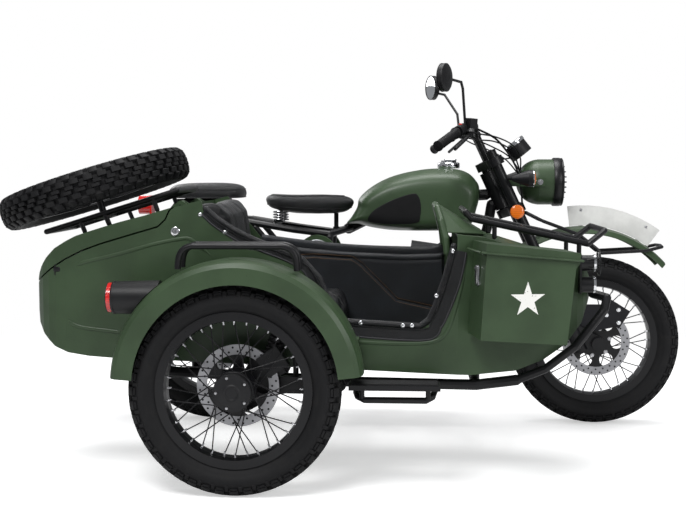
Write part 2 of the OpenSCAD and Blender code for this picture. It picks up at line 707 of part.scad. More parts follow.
module box_lid() color(green) box_frame() {
    difference() {
        slab([[-2, 752], [290, 727], [294, 752], [2, 784]], -box_w - 8, 8);
        slab([[-6, 700], [286, 700], [290, 749], [5, 781]], -box_w - 5, 5);
    }
    for (y = [-45, -box_w + 45]) difference() {
        union() {
            translate([box_front[0], y, box_front[1]]) drum(5, 22);
            slab([for (p = [[-9, 6], [-3, -3], [2, 2], [-5.5, 22]]) box_front + p], y - 11, y + 11);
        }
        translate([box_front[0], y, box_front[1]]) drum(box_pin + run, 40);
    }
}

spot_r = 25;
spot_x = 1329;
spot_y = nose_cy - sqrt(nose_r * nose_r - pow(spot_x - nose_cx, 2)) - spot_r - 3;

module nose_lamps() color(black) place() {
    for (z = [640, 709]) translate([spot_x, spot_y, z]) rotate([0, 90, 0]) cylinder(h = 44, r = spot_r, $fn = 64);
    difference() {
        translate([spot_x - 5, spot_y - spot_r, 612]) cube([5.2, 2 * spot_r + 8, 125]);
        translate([nose_cx, nose_cy, 600]) cylinder(h = 150, r = nose_r + seat_gap, $fn = 96);
    }
}

guard_x = side_lead + 10;
guard_z = wheel_r + 15;
guard_crown = 391;
guard_half = 84;

// Height at which a tube of radius r rests on the guard's crown.
function guard_rest(x, r) = guard_z + sqrt(pow(guard_crown - 0.9 + 0.98 * r + seat_gap, 2) - pow(x - guard_x, 2));

module sidecar_fender() color(green) place() {
    translate([guard_x, -track, guard_z]) {
        w = guard_half;
        c = guard_crown;
        sweep_y([[315, -w], [c - 24, -w], [c - 10, -w + 10], [c - 2, -w + 34], [c, 0], [c - 2, w - 30],
                 [c - 10, w - 8], [c - 20, w], [c - 28, w], [c - 28, w - 4], [c - 22, w - 4], [c - 13, w - 12],
                 [c - 6, w - 32], [c - 4, 0], [c - 6, -w + 36], [c - 13, -w + 13], [c - 25, -w + 4],
                 [315, -w + 4]], 6, 176);
    }
    reach = -track + guard_half - tub_right;
    for (m = [[-86, 525], [228, 707], [590, 470]])
        translate([m[0], tub_right + reach - 2, m[1]]) cube([36, 2 - reach - seat_gap, 5]);
}

module fender_rail() color(black) place() for (y = [-track - 33, -track + 37])
    pipe([[82, y, guard_rest(82, 10)], [90, y, 752], [120, y, 774], [400, y, 774], [430, y, 752],
          [446, y, guard_rest(446, 10)]], 10);

module sidecar_lamp() color(black) place() difference() {
    union() {
        translate([20, -track, 612]) rotate([0, -90, 0]) cylinder(h = 138, r1 = 54, r2 = 50, $fn = 64);
        translate([-117.9, -track, 612]) rotate([0, -90, 0]) cylinder(h = 24, r = 46, $fn = 64);
    }
    translate([guard_x, -track, guard_z]) drum(guard_crown + seat_gap, 200);
}

frame_line = [[-60, 350], [80, 345], [620, 320], [1000, 315], [1130, 332]];
side_rails = [-920, -450];
pivot = [566, 322];   // the trailing arm's pivot

module sidecar_frame() color(black) place() {
    for (y = side_rails) pipe([for (p = frame_line) [p[0], y, p[1]]], 17, 10);
    for (x = [80, 600, 1000]) pipe([[x, side_rails[0], height_at(x, frame_line)],
                                    [x, side_rails[1], height_at(x, frame_line)]], 16, 10);
    clamp([940, -125, 235], [620, -125, 235], 67, 36);
    clamp([620, -125, 235], [520, -125, 270], 45, 36);
    clamp([470, -120, 420], [460, -118, 600], 138, 34);
    clamp([1062, -95, 560], [1048, -120, 400], 80, 34);
    pipe([[600, -450, 320], [578, -155, 252]], 13, 10);
    pipe([[1000, -450, 318], [873, -155, 240]], 13, 10);
    pipe([[560, -450, 324], [555, -385, 328], [464, -148, 556]], 13, 10);
    pipe([[1050, -450, 322], [1052, -385, 328], [1056, -137, 482]], 13, 10);
    pipe([[1130, -920, 332], [1219, -938, 372], [1312, -944, 446], [1402, -932, 561], [1413, -912, 598],
          [1374, -866, 606]], 14, 10);
    pipe([[420, -920, 328], [424, -972, 342], [424, -972, 400], [410, -972, 600]], 9, 10);
    translate([side_shock_high[0], (side_shock_y - 965 - 12) / 2, side_shock_high[2]]) drum(side_pin_r, -965 - side_shock_y + 12);
    for (x = [80, 600, 1000], y = [-850, -520])
        post(x, y, height_at(x, frame_line), height_at(x, belly) - 1.2, 15);
}

module footstep() color(black) place() {
    translate([600, -1112, 328]) cube([282, 84, 16]);
    pipe([[618, -1000, 302], [626, -1060, 300], [648, -1074, 292], [838, -1074, 292], [858, -1060, 300],
          [868, -1000, 312], [872, -946.5, 318]], 10);
    pipe([[630, -1000, 304], [630, -946.5, 316]], 10);
    post(640, -1074, 296, 329, 8);
    post(845, -1074, 296, 329, 8);
}

disc_side_y = -track + disc_y - 4;   // the sidecar wheel's disc

module trailing_arm() color(black) place() {
    difference() {
        union() {
            slab([[side_lead - 25, 310], [side_lead + 10, 300], [pivot[0], 298], [pivot[0] + 18, 322],
                  [pivot[0], 346], [300, 356], [side_lead - 25, 352]], -1022, -988);
            translate([side_lead, -1005, wheel_r]) drum(36, 34);
        }
        translate([side_lead, -track, wheel_r]) drum(axle_r, 260);
    }
    translate([side_lead, (-988 - track - hub_end) / 2 + 1, wheel_r]) drum(axle_r, track + hub_end - 988 - 2);
    translate([pivot[0], (-993 + side_rails[0] - 17 - seat_gap) / 2, pivot[1]]) drum(20, 993 + side_rails[0] - 17 - seat_gap);
    translate(side_shock_low) drum(side_pin_r, 28);
    for (s = [-1, 1]) slab([[316, 350], [322, 386], [346, 386], [356, 350]],
                           side_shock_y + s * 12.2 - 1.8, side_shock_y + s * 12.2 + 1.8);
    translate([side_lead, 0, wheel_r]) difference() {
        union() {
            rotate([0, -35, 0]) translate([96, disc_side_y - 17, -36]) cube([76, 36, 72]);
            slab([[0, 20], [40, -20], [150, 40], [110, 110], [60, 110]], disc_side_y + 12, disc_side_y + 17.5);
            slab([[20, -10], [60, -10], [90, 50], [50, 60]], disc_side_y + 17, -1021);
        }
        translate([0, disc_side_y, 0]) drum(disc_r + 8, 16);
        drum(axle_r + 10, 2400);
    }
}

module trunk_lid() color(green) place() {
    edge = offset_line(lid_line, -lid_gap);
    difference() {
        intersection() {
            slab(concat(lid_top, [for (i = [1 : len(edge) - 1]) edge[i]]), tub_right, tub_left);
            translate([0, 0, 300]) linear_extrude(700) polygon(plan);
        }
        intersection() {
            slab(concat([[-439, 600]], [for (p = lid_in) if (p[0] < 8) p], [[8, 872], [8, 600]]), tub_right, tub_left);
            translate([0, 0, 300]) linear_extrude(720) polygon(plan_in);
        }
    }
    for (y = hinge_ys) difference() {
        union() {
            translate([hinge_x, y, hinge_z]) drum(7, 30);
            slab([[0, 877], [22, 882], [34, 890], [30, 903], [24, 902], [2, 884]], y - 15, y + 15);
        }
        translate([hinge_x, y, hinge_z]) drum(pin_r + run, 60);
    }
}

spare_x = -296;
spare_z = 938;
spare_tilt = 17.5;
carrier_back = [-419, 799];
carrier_front = [20, 936];
carrier_y = [mid_y - 165, mid_y + 165];

function carrier_z(x) = carrier_back[1] + (x - carrier_back[0]) * (carrier_front[1] - carrier_back[1]) / (carrier_front[0] - carrier_back[0]);

module spare_frame() place() translate([spare_x, mid_y, spare_z]) rotate([0, -spare_tilt, 0]) rotate([90, 0, 0]) children();
module spare_tyre() color(rubber) spare_frame() tyre_shape();
module spare_wheel() color(black) spare_frame() {
    rim_shape();
    spokes_shape();
    difference() {
        union() {
            drum(hub_r, 2 * flange_y - 6);
            for (s = [-1, 1]) translate([0, s * flange_y, 0]) drum(flange_r, 6);
        }
        drum(13, 200);
    }
}

module wheel_rack() color(black) place() {
    for (y = carrier_y) {
        pipe([[carrier_back[0], y, carrier_back[1]], [carrier_front[0], y, carrier_front[1]]], rack_r + 1);
        for (x = [-304, -223, -60])
            pipe([[x, y, carrier_z(x)], [x + 14, y, rest_z(x + 14, lid_top, rack_r)]], rack_r);
    }
    for (x = [carrier_back[0], -273, carrier_front[0]])
        pipe([[x, carrier_y[0], carrier_z(x)], [x, carrier_y[1], carrier_z(x)]], rack_r + 1);
    translate([spare_x, mid_y, spare_z]) rotate([0, -spare_tilt, 0]) {
        translate([0, 0, -92]) cylinder(h = 136, r = 12, $fn = 32);
        translate([0, 0, -flange_y - 3.3 - 8]) cylinder(h = 8, r = 34, $fn = 32);
    }
}

frame();
head_tube();
engine();
exhaust();
fuel_tank();
filler_cap();
rider_seat();
pillion_seat();
rear_fender();
tail_lamp();
plate_bracket();
swing_arm();
chain_guard();
shock_absorbers();
side_covers();
footrests();
sidecar_frame();
tub();
cockpit_lining();
entry_trim();
seat_back();
seat_cushion();
cowl();
nose_rack();
ammo_box();
nose_lamps();
sidecar_fender();
fender_rail();
sidecar_lamp();
footstep();
trailing_arm();
trunk_lid();
wheel_rack();
spare_tyre();
spare_wheel();
box_lid();
fork();
front_caliper();
front_fender();
fender_stays();
front_plate();
handlebar();
controls();
mirrors();
headlamp();
gauge_pod();
indicators();
front_tyre();
front_wheel();
rear_tyre();
rear_wheel();
side_tyre();
side_wheel();
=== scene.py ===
"""A solo motorcycle with a boat-shaped sidecar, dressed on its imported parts."""

import logging
import math
from dataclasses import dataclass, field
from enum import Enum
from typing import Any, ClassVar, Optional, Sequence, Union

import bpy
import numpy as np
from mathutils import Matrix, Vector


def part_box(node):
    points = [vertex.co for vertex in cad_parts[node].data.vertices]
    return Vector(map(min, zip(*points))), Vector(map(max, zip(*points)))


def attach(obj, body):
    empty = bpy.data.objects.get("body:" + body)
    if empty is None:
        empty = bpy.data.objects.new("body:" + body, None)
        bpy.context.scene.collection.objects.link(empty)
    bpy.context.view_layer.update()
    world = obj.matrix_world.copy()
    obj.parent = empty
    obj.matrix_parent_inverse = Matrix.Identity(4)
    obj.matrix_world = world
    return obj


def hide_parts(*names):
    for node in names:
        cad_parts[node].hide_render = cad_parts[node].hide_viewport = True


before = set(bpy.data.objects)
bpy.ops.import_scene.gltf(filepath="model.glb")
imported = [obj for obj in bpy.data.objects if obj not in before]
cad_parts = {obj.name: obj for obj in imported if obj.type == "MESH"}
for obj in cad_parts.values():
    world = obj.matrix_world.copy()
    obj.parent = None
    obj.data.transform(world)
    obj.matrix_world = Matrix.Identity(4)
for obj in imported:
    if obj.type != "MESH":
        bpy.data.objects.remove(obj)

log = logging.getLogger("sidecar")
Number = Union[float, "Sig"]
Array = np.ndarray

CENTRE = np.array([0.614, -0.376, 0.0])
WHEELBASE = 1514.0
TRACK = 1117.0  # from the bike's middle plane to the sidecar wheel's
SIDE_LEAD = 250.0  # how far the sidecar's axle is ahead of the rear one
AXLE_Z = 330.0
SPARE_CENTRE = (-296.0, -680.0, 938.0)
SPARE_LEAN = 17.5  # degrees that the spare wheel tips back on its rack
NOSE_TAPER = 10.0  # degrees that the tub's nose turns inwards
NOSE_START = 940.0  # where the nose starts to turn


def mm(points: Any) -> Array:
    """Moves millimetres from the ground point under the rear axle to metres in the shared frame.

    Args:
        points: One point or rows of points.

    Returns:
        The same points / 1000, less the centre.
    """
    return np.asarray(points, float) / 1000.0 - CENTRE


# ---------------------------------------------------------------- shader maths


class Sig:
    """A shader socket that is added, multiplied and compared as a number is."""

    def __init__(self, tree: "Tree", socket: bpy.types.NodeSocket) -> None:
        """Holds a socket and the tree that it is in."""
        self.tree = tree
        self.socket = socket

    def _op(self, name: str, *terms: Number) -> "Sig":
        """One Math node on the given terms."""
        inputs = {i: t for i, t in enumerate(terms)}
        return self.tree.node("ShaderNodeMath", {"operation": name}, inputs)

    def __add__(self, other: Number) -> "Sig":
        """self + other."""
        return self._op("ADD", self, other)

    __radd__ = __add__

    def __mul__(self, other: Number) -> "Sig":
        """self * other."""
        return self._op("MULTIPLY", self, other)

    __rmul__ = __mul__

    def __sub__(self, other: Number) -> "Sig":
        """self - other."""
        return self._op("SUBTRACT", self, other)

    def __rsub__(self, other: Number) -> "Sig":
        """other - self."""
        return self._op("SUBTRACT", other, self)

    def __truediv__(self, other: Number) -> "Sig":
        """self / other."""
        return self._op("DIVIDE", self, other)

    def __rtruediv__(self, other: Number) -> "Sig":
        """other / self."""
        return self._op("DIVIDE", other, self)

    def __pow__(self, other: Number) -> "Sig":
        """self to the power of other."""
        return self._op("POWER", self, other)

    def sine(self) -> "Sig":
        """The sine of self."""
        return self._op("SINE", self)

    def root(self) -> "Sig":
        """The square root of self."""
        return self._op("SQRT", self)

    def step(self, low: float, high: float) -> "Sig":
        """0 below low and 1 above high, with a smooth rise between.

        Args:
            low: Where the rise begins.
            high: Where it ends.

        Returns:
            A value from 0 to 1.
        """
        made = self.tree.node("ShaderNodeMapRange", {"interpolation_type": "SMOOTHSTEP"},
                              {"Value": self, "From Min": low, "From Max": high})
        return made


class Tree:
    """The node tree of one material, with its output shader."""

    def __init__(self, name: str) -> None:
        """Starts a material with a single Principled shader.

        Args:
            name: The material's name.
        """
        self.material = bpy.data.materials.new(name)
        self.material.use_nodes = True
        self.nodes = self.material.node_tree.nodes
        self.links = self.material.node_tree.links
        self.shader = self.nodes["Principled BSDF"]
        self.place: Optional[Sig] = None

    def node(self, kind: str, settings: Optional[dict[str, Any]] = None,
             inputs: Optional[dict[Any, Any]] = None, output: Any = 0) -> Sig:
        """Adds a node.

        Args:
            kind: The node's type.
            settings: Properties to set on it.
            inputs: Values or sockets, by socket name or number.
            output: Which output to give back.

        Returns:
            The output as a Sig.
        """
        made = self.nodes.new(kind)
        for key, value in (settings or {}).items():
            setattr(made, key, value)
        for key, value in (inputs or {}).items():
            self.put(made.inputs[key], value)
        return Sig(self, made.outputs[output])

    def put(self, socket: bpy.types.NodeSocket, value: Any) -> None:
        """Links a Sig to a socket, or sets the socket's own value.

        Args:
            socket: The input to feed.
            value: A Sig, or what the socket itself holds.
        """
        if isinstance(value, Sig):
            self.links.new(value.socket, socket)
        else:
            socket.default_value = value

    def coordinates(self, stretch: Sequence[float] = (1, 1, 1), shift: Sequence[float] = (0, 0, 0)) -> Sig:
        """Object coordinates, shifted and then stretched.

        Args:
            stretch: Factors along X, Y and Z.
            shift: The point that becomes the origin, in metres.

        Returns:
            The coordinates, as a vector.
        """
        if self.place is None:
            self.place = self.node("ShaderNodeTexCoord", output="Object")
        if tuple(stretch) == (1, 1, 1) and tuple(shift) == (0, 0, 0):
            return self.place
        moved = self.node("ShaderNodeVectorMath", {"operation": "SUBTRACT"}, {0: self.place, 1: tuple(shift)})
        return self.node("ShaderNodeVectorMath", {"operation": "MULTIPLY"}, {0: moved, 1: tuple(stretch)})

    def noise(self, scale: float, detail: float = 3.0, stretch: Sequence[float] = (1, 1, 1)) -> Sig:
        """Fractal noise between about 0.3 and 0.7, on object coordinates."""
        return self.node("ShaderNodeTexNoise", {}, {"Vector": self.coordinates(stretch), "Scale": scale,
                                                    "Detail": detail, "Roughness": 0.55})

    def cells(self, scale: float, feature: str = "F1") -> Sig:
        """Distance within Voronoi cells."""
        return self.node("ShaderNodeTexVoronoi", {"feature": feature}, {"Vector": self.coordinates(), "Scale": scale})

    def blend(self, low: Any, high: Any, factor: Number) -> Sig:
        """A colour between low and high."""
        return self.node("ShaderNodeMix", {"data_type": "RGBA"}, {0: factor, 6: low, 7: high}, output=2)

    def upward(self) -> Sig:
        """How far the surface faces up, from -1 to 1."""
        normal = self.node("ShaderNodeNewGeometry", output="Normal")
        return self.node("ShaderNodeSeparateXYZ", {}, {0: normal}, output=2)

    def finish(self, colour: Any, rough: Number, metal: float = 0.0, height: Optional[Sig] = None,
               depth: float = 0.0005, fixed: Optional[dict[str, Any]] = None) -> bpy.types.Material:
        """Joins the pattern to the shader.

        Args:
            colour: Base colour, as a Sig or four numbers.
            rough: Roughness.
            metal: Metallic.
            height: Height of the bump, 0 to 1.
            depth: Depth of the bump in metres.
            fixed: Further constant inputs of the shader.

        Returns:
            The material.
        """
        self.put(self.shader.inputs["Base Color"], colour)
        self.put(self.shader.inputs["Roughness"], rough)
        self.put(self.shader.inputs["Metallic"], metal)
        for key, value in (fixed or {}).items():
            self.shader.inputs[key].default_value = value
        if height is not None:
            bump = self.node("ShaderNodeBump", {}, {"Height": height, "Distance": depth, "Strength": 1.0})
            self.put(self.shader.inputs["Normal"], bump)
        return self.material


def tint(rgb: Sequence[float], gain: float = 1.0) -> tuple[float, float, float, float]:
    """A colour times gain, with an alpha of one."""
    return (rgb[0] * gain, rgb[1] * gain, rgb[2] * gain, 1.0)


@dataclass(frozen=True)
class Finish:
    """A surface finish, made once and shared by the pieces that wear it."""

    name: str
    rgb: tuple[float, float, float]
    rough: float = 0.5
    made: ClassVar[dict[str, bpy.types.Material]] = {}

    def material(self) -> bpy.types.Material:
        """The finish's material.

        Returns:
            The material, made at the first call.
        """
        if self.name not in Finish.made:
            Finish.made[self.name] = self.build(Tree(self.name))
        return Finish.made[self.name]

    def build(self, tree: Tree) -> bpy.types.Material:
        """A mottled plain surface.

        Args:
            tree: The material's node tree.

        Returns:
            The finished material.
        """
        cloud = tree.noise(9.0)
        base = tree.blend(tint(self.rgb, 0.85), tint(self.rgb, 1.15), cloud)
        return tree.finish(base, cloud * 0.2 + (self.rough - 0.1))


@dataclass(frozen=True)
class Paint(Finish):
    """Sprayed paint with orange peel, faint dust on what faces up and small stone chips."""

    dust: float = 0.12
    chips: float = 0.5
    coat: float = 0.0

    def build(self, tree: Tree) -> bpy.types.Material:
        """Mottle, dust where the normal points up, chips from thresholded noise, orange-peel bump.

        Args:
            tree: The material's node tree.

        Returns:
            The finished material.
        """
        cloud = tree.noise(7.0, 4.0)
        base = tree.blend(tint(self.rgb, 0.88), tint(self.rgb, 1.12), cloud.step(0.35, 0.65))
        dusty = tree.upward().step(0.35, 1.0) * tree.noise(22.0, 6.0).step(0.35, 0.7) * self.dust
        base = tree.blend(base, tint((0.36, 0.34, 0.28)), dusty)
        chip = tree.noise(75.0, 5.0).step(0.70, 0.73) * self.chips
        base = tree.blend(base, tint(self.rgb, 0.45), chip)
        rough = cloud * 0.16 + (self.rough - 0.08) + dusty * 0.9
        peel = tree.noise(520.0, 2.0) * 0.5 + tree.noise(1700.0, 1.0) * 0.2 - chip * 0.6
        return tree.finish(base, rough, 0.0, peel, 0.00025,
                           {"Coat Weight": self.coat, "Coat Roughness": 0.25, "Specular IOR Level": 0.30})


@dataclass(frozen=True)
class Rubber(Finish):
    """Tyre or grip rubber, dusty in its hollows."""

    dust: float = 0.3

    def build(self, tree: Tree) -> bpy.types.Material:
        """Black with brownish dust from noise and a fine mould texture.

        Args:
            tree: The material's node tree.

        Returns:
            The finished material.
        """
        cloud = tree.noise(30.0, 6.0)
        base = tree.blend(tint(self.rgb, 0.8), tint((0.040, 0.038, 0.035)), cloud.step(0.42, 0.75) * self.dust)
        height = tree.noise(900.0, 2.0) * 0.6 + tree.cells(420.0) * 0.4
        return tree.finish(base, cloud * 0.25 + (self.rough - 0.1), 0.0, height, 0.0003, {"Specular IOR Level": 0.22})


@dataclass(frozen=True)
class Hide(Finish):
    """Stretched leather cloth with a pebbled grain and soft creases."""

    grain: float = 620.0

    def build(self, tree: Tree) -> bpy.types.Material:
        """Voronoi pebbles at the grain's scale, long creases, and paler noise patches that are partly rubbed wear and
        partly painted sheen.

        Args:
            tree: The material's node tree.

        Returns:
            The finished material.
        """
        pebble = tree.cells(self.grain, "DISTANCE_TO_EDGE").step(0.0, 0.25)
        crease = tree.noise(34.0, 6.0, (1.0, 0.45, 1.0))
        # Paler patches from noise: partly rubbed wear, partly painted sheen put into the base colour.
        wear_and_sheen = tree.noise(11.0, 4.0).step(0.45, 0.72)
        base = tree.blend(tint(self.rgb, 0.75), tint(self.rgb, 1.5), wear_and_sheen)
        base = tree.blend(tint(self.rgb, 0.5), base, pebble * 0.6 + 0.4)
        rough = wear_and_sheen * 0.12 + (self.rough - 0.08) + crease * 0.1
        return tree.finish(base, rough, 0.0, pebble * 0.5 + crease * 1.2, 0.0008, {"Specular IOR Level": 0.42})


@dataclass(frozen=True)
class Metal(Finish):
    """Bare or plated metal with smears and a choice of casting grit."""

    grit: float = 0.0
    smear: float = 0.1

    def build(self, tree: Tree) -> bpy.types.Material:
        """Smears change the roughness; grit is a fine bump.

        Args:
            tree: The material's node tree.

        Returns:
            The finished material.
        """
        smear = tree.noise(40.0, 5.0, (1.0, 1.0, 0.35))
        base = tree.blend(tint(self.rgb, 0.86), tint(self.rgb, 1.08), smear)
        rough = smear * self.smear + (self.rough - self.smear * 0.5)
        height = tree.noise(1100.0, 3.0) if self.grit > 0 else tree.noise(160.0, 2.0)
        return tree.finish(base, rough, 1.0, height, 0.00035 if self.grit > 0 else 0.00004)


@dataclass(frozen=True)
class Turned(Finish):
    """Steel turned on a lathe: rings about an axle along Y."""

    axle: tuple[float, float] = (0.0, 0.0)

    def build(self, tree: Tree) -> bpy.types.Material:
        """Rings are sines of the distance from the axle, broken up by noise.

        Args:
            tree: The material's node tree.

        Returns:
            The finished material.
        """
        place = tree.coordinates(shift=(self.axle[0], 0.0, self.axle[1]))
        split = [tree.node("ShaderNodeSeparateXYZ", {}, {0: place}, output=i) for i in (0, 2)]
        reach = (split[0] * split[0] + split[1] * split[1]).root()
        ring = (reach * 5200.0).sine() * 0.5 + (reach * 2100.0).sine() * 0.5
        base = tree.blend(tint(self.rgb, 0.8), tint(self.rgb, 1.1), ring * 0.25 + 0.5)
        return tree.finish(base, tree.noise(60.0) * 0.2 + (self.rough - 0.1), 1.0, ring, 0.00008)


@dataclass(frozen=True)
class Lens(Finish):
    """A moulded lamp lens or a clear glass."""

    clear: float = 0.0
    flute: float = 260.0

    def build(self, tree: Tree) -> bpy.types.Material:
        """Square prisms as crossed sines under a glossy skin.

        Args:
            tree: The material's node tree.

        Returns:
            The finished material.
        """
        across = [tree.node("ShaderNodeSeparateXYZ", {}, {0: tree.coordinates()}, output=i) for i in (1, 2)]
        prism = (across[0] * self.flute * 3.0).sine() * 0.5 + (across[1] * self.flute * 3.0).sine() * 0.5
        base = tree.blend(tint(self.rgb, 0.82), tint(self.rgb, 1.15), prism * 0.5 + 0.5)
        fixed = {"Transmission Weight": self.clear, "Coat Weight": 0.8, "Coat Roughness": 0.04, "IOR": 1.49}
        return tree.finish(base, tree.noise(50.0) * 0.08 + (self.rough - 0.04), 0.0, prism, 0.0004, fixed)


@dataclass(frozen=True)
class Stencil(Finish):
    """Thin stencilled paint, worn through in specks."""

    under: tuple[float, float, float] = (0.1, 0.1, 0.1)

    def build(self, tree: Tree) -> bpy.types.Material:
        """The under colour shows where fine noise passes a threshold.

        Args:
            tree: The material's node tree.

        Returns:
            The finished material.
        """
        worn = tree.noise(95.0, 7.0).step(0.62, 0.68) * 0.7
        base = tree.blend(tint(self.rgb), tint(self.under), worn)
        return tree.finish(base, tree.noise(20.0) * 0.2 + (self.rough - 0.1), 0.0, tree.noise(700.0), 0.0001)


GREEN = Paint("olive_paint", (0.034, 0.060, 0.028), 0.40, dust=0.03, coat=0.10)
BLACK = Paint("black_powder", (0.006, 0.006, 0.007), 0.36, dust=0.01, chips=0.2)
WHEEL_BLACK = Paint("wheel_black", (0.005, 0.005, 0.006), 0.30, dust=0.01, chips=0.2)
PLATE_WHITE = Paint("plate_white", (0.72, 0.72, 0.70), 0.35, dust=0.05, chips=0.2, coat=0.3)
TYRE = Rubber("tyre_rubber", (0.008, 0.008, 0.009), 0.62, dust=0.12)
GRIP = Rubber("grip_rubber", (0.006, 0.006, 0.007), 0.55, dust=0.03)
HIDE = Hide("black_hide", (0.007, 0.0075, 0.009), 0.36)
QUILT = Hide("lining_hide", (0.008, 0.010, 0.014), 0.44, grain=520.0)
CHROME = Metal("chrome", (0.78, 0.79, 0.81), 0.08, smear=0.08)
STEEL = Metal("bright_steel", (0.52, 0.52, 0.54), 0.28, smear=0.15)
CAST = Metal("cast_alloy", (0.16, 0.16, 0.17), 0.5, grit=1.0)
DARK_CAST = Metal("dark_cast", (0.03, 0.03, 0.033), 0.48, grit=1.0)
ALLOY = Metal("pierced_alloy", (0.50, 0.51, 0.53), 0.35, smear=0.15)
PLASTIC = Paint("black_plastic", (0.007, 0.007, 0.008), 0.44, dust=0.01, chips=0.0)
# Near-black for the solid discs and pills that stand in holes and slots: painted shade in place of open holes.
HOLE_SHADE = Finish("painted_hole_shade", (0.006, 0.006, 0.006), 0.8)
RED_LENS = Lens("red_lens", (0.55, 0.012, 0.010), 0.14)
AMBER_LENS = Lens("amber_lens", (0.75, 0.16, 0.010), 0.14)
CLEAR_LENS = Lens("clear_lens", (0.92, 0.93, 0.94), 0.08, clear=0.9, flute=180.0)
MIRROR = Metal("mirror_glass", (0.88, 0.90, 0.92), 0.03, smear=0.02)
DIAL = Paint("dial_black", (0.01, 0.01, 0.011), 0.3, dust=0.0, chips=0.0)
MARK = Paint("dial_mark", (0.8, 0.8, 0.78), 0.5, dust=0.0, chips=0.0)
STAR = Stencil("star_stencil", (0.80, 0.80, 0.76), 0.5, under=(0.036, 0.056, 0.024))
RED_SWITCH = Paint("red_switch", (0.55, 0.02, 0.015), 0.35, dust=0.0, chips=0.0)
TAN_THREAD = Finish("tan_thread", (0.23, 0.12, 0.05), 0.75)
GREY_THREAD = Finish("dark_thread", (0.05, 0.05, 0.055), 0.75)

# ---------------------------------------------------------------- mesh kit


@dataclass(frozen=True)
class Shape:
    """A mesh as arrays: corners, four-sided faces and a few many-sided caps."""

    verts: Array
    quads: Array
    caps: tuple[Array, ...] = ()

    def __add__(self, other: "Shape") -> "Shape":
        """Both meshes in one, the second one's corners numbered after the first's.

        Args:
            other: The mesh to add.

        Returns:
            A new mesh.
        """
        n = len(self.verts)
        return Shape(np.vstack([self.verts, other.verts]), np.vstack([self.quads, other.quads + n]),
                     self.caps + tuple(c + n for c in other.caps))

    def moved(self, turn: Array, shift: Any = (0, 0, 0)) -> "Shape":
        """Each corner p becomes turn @ p + shift."""
        verts = self.verts @ np.asarray(turn, float).T + np.asarray(shift, float)
        return self.flipped(verts) if np.linalg.det(turn) < 0 else Shape(verts, self.quads, self.caps)

    def at(self, place: Any) -> "Shape":
        """The mesh unturned, carried to a place in millimetres."""
        return self.moved(np.eye(3), place)

    def flipped(self, verts: Array) -> "Shape":
        """The mesh on new corners with its faces turned round."""
        return Shape(verts, self.quads[:, ::-1], tuple(c[::-1] for c in self.caps))

    def copies(self, turns: Array, shifts: Array) -> "Shape":
        """Copies of a small mesh.

        Args:
            turns: K rotation matrices, (K, 3, 3).
            shifts: K places, (K, 3).

        Returns:
            The mesh whose corner (k, i) is turns[k] @ p[i] + shifts[k].
        """
        k, n = len(shifts), len(self.verts)
        verts = np.einsum("kij,nj->kni", turns, self.verts) + shifts[:, None, :]
        quads = (self.quads[None] + n * np.arange(k)[:, None, None]).reshape(-1, 4)
        caps = tuple(c + n * i for i in range(k) for c in self.caps)
        return Shape(verts.reshape(-1, 3), quads, caps)


def upright(count: int) -> Array:
    """As many unturned frames as count, for copies that only move."""
    return np.repeat(np.eye(3)[None], count, 0)


def joined(shapes: Sequence[Shape]) -> Shape:
    """All the meshes in one.

    Args:
        shapes: The meshes, one at least.

    Returns:
        One mesh, with the corners in the order given.
    """
    total = shapes[0]
    for shape in shapes[1:]:
        total = total + shape
    return total


def sheet_of(points: Array, wrap_u: bool = False, wrap_v: bool = False, caps: bool = False) -> Shape:
    """A surface on a grid of points.

    Args:
        points: (U, V, 3) corners; face (u, v) joins (u, v), (u+1, v), (u+1, v+1), (u, v+1).
        wrap_u: Join the last row to the first.
        wrap_v: Join the last column to the first.
        caps: Close the first and last rows with one face each.

    Returns:
        The mesh.
    """
    nu, nv = points.shape[:2]
    index = np.arange(nu * nv).reshape(nu, nv)
    a = index if wrap_u else index[:-1]
    b = np.roll(index, -1, 0) if wrap_u else index[1:]
    a2, b2 = (np.roll(a, -1, 1), np.roll(b, -1, 1)) if wrap_v else (a[:, 1:], b[:, 1:])
    if not wrap_v:
        a, b = a[:, :-1], b[:, :-1]
    quads = np.stack([a, b, b2, a2], -1).reshape(-1, 4)
    ends = (index[0], index[-1][::-1]) if caps else ()
    return Shape(points.reshape(-1, 3), quads, ends)


def basis(axis: Any, near: Any = (0.0, 0.0, 1.0)) -> Array:
    """A right-handed frame whose third column is the axis and whose first lies nearest to near.

    Args:
        axis: The direction of the third column.
        near: The direction that the first column leans to.

    Returns:
        (3, 3), one direction to a column.
    """
    w = np.asarray(axis, float)
    w = w / np.linalg.norm(w)
    u = np.asarray(near, float) - w * np.dot(near, w)
    if np.linalg.norm(u) < 1e-6:
        u = np.array([1.0, 0.0, 0.0]) - w * w[0]
    u = u / np.linalg.norm(u)
    return np.stack([u, np.cross(w, u), w], 1)


def revolve(profile: Any, sides: int = 48, closed: bool = False) -> Shape:
    """A profile of (radius, height) turned about Z.

    Args:
        profile: (N, 2) radius and height. A radius of 0 closes on the axis.
        sides: Steps round the axis.
        closed: The profile is a loop.

    Returns:
        Corner (i, a) at (r cos a, r sin a, h), in the profile's own units.
    """
    p = np.asarray(profile, float)
    a = np.linspace(0, 2 * math.pi, sides, endpoint=False)
    r = np.maximum(p[:, :1], 1e-4)
    points = np.stack([r * np.cos(a), r * np.sin(a), np.repeat(p[:, 1:], sides, 1)], -1)
    return sheet_of(points[::-1], wrap_u=closed, wrap_v=True, caps=not closed)


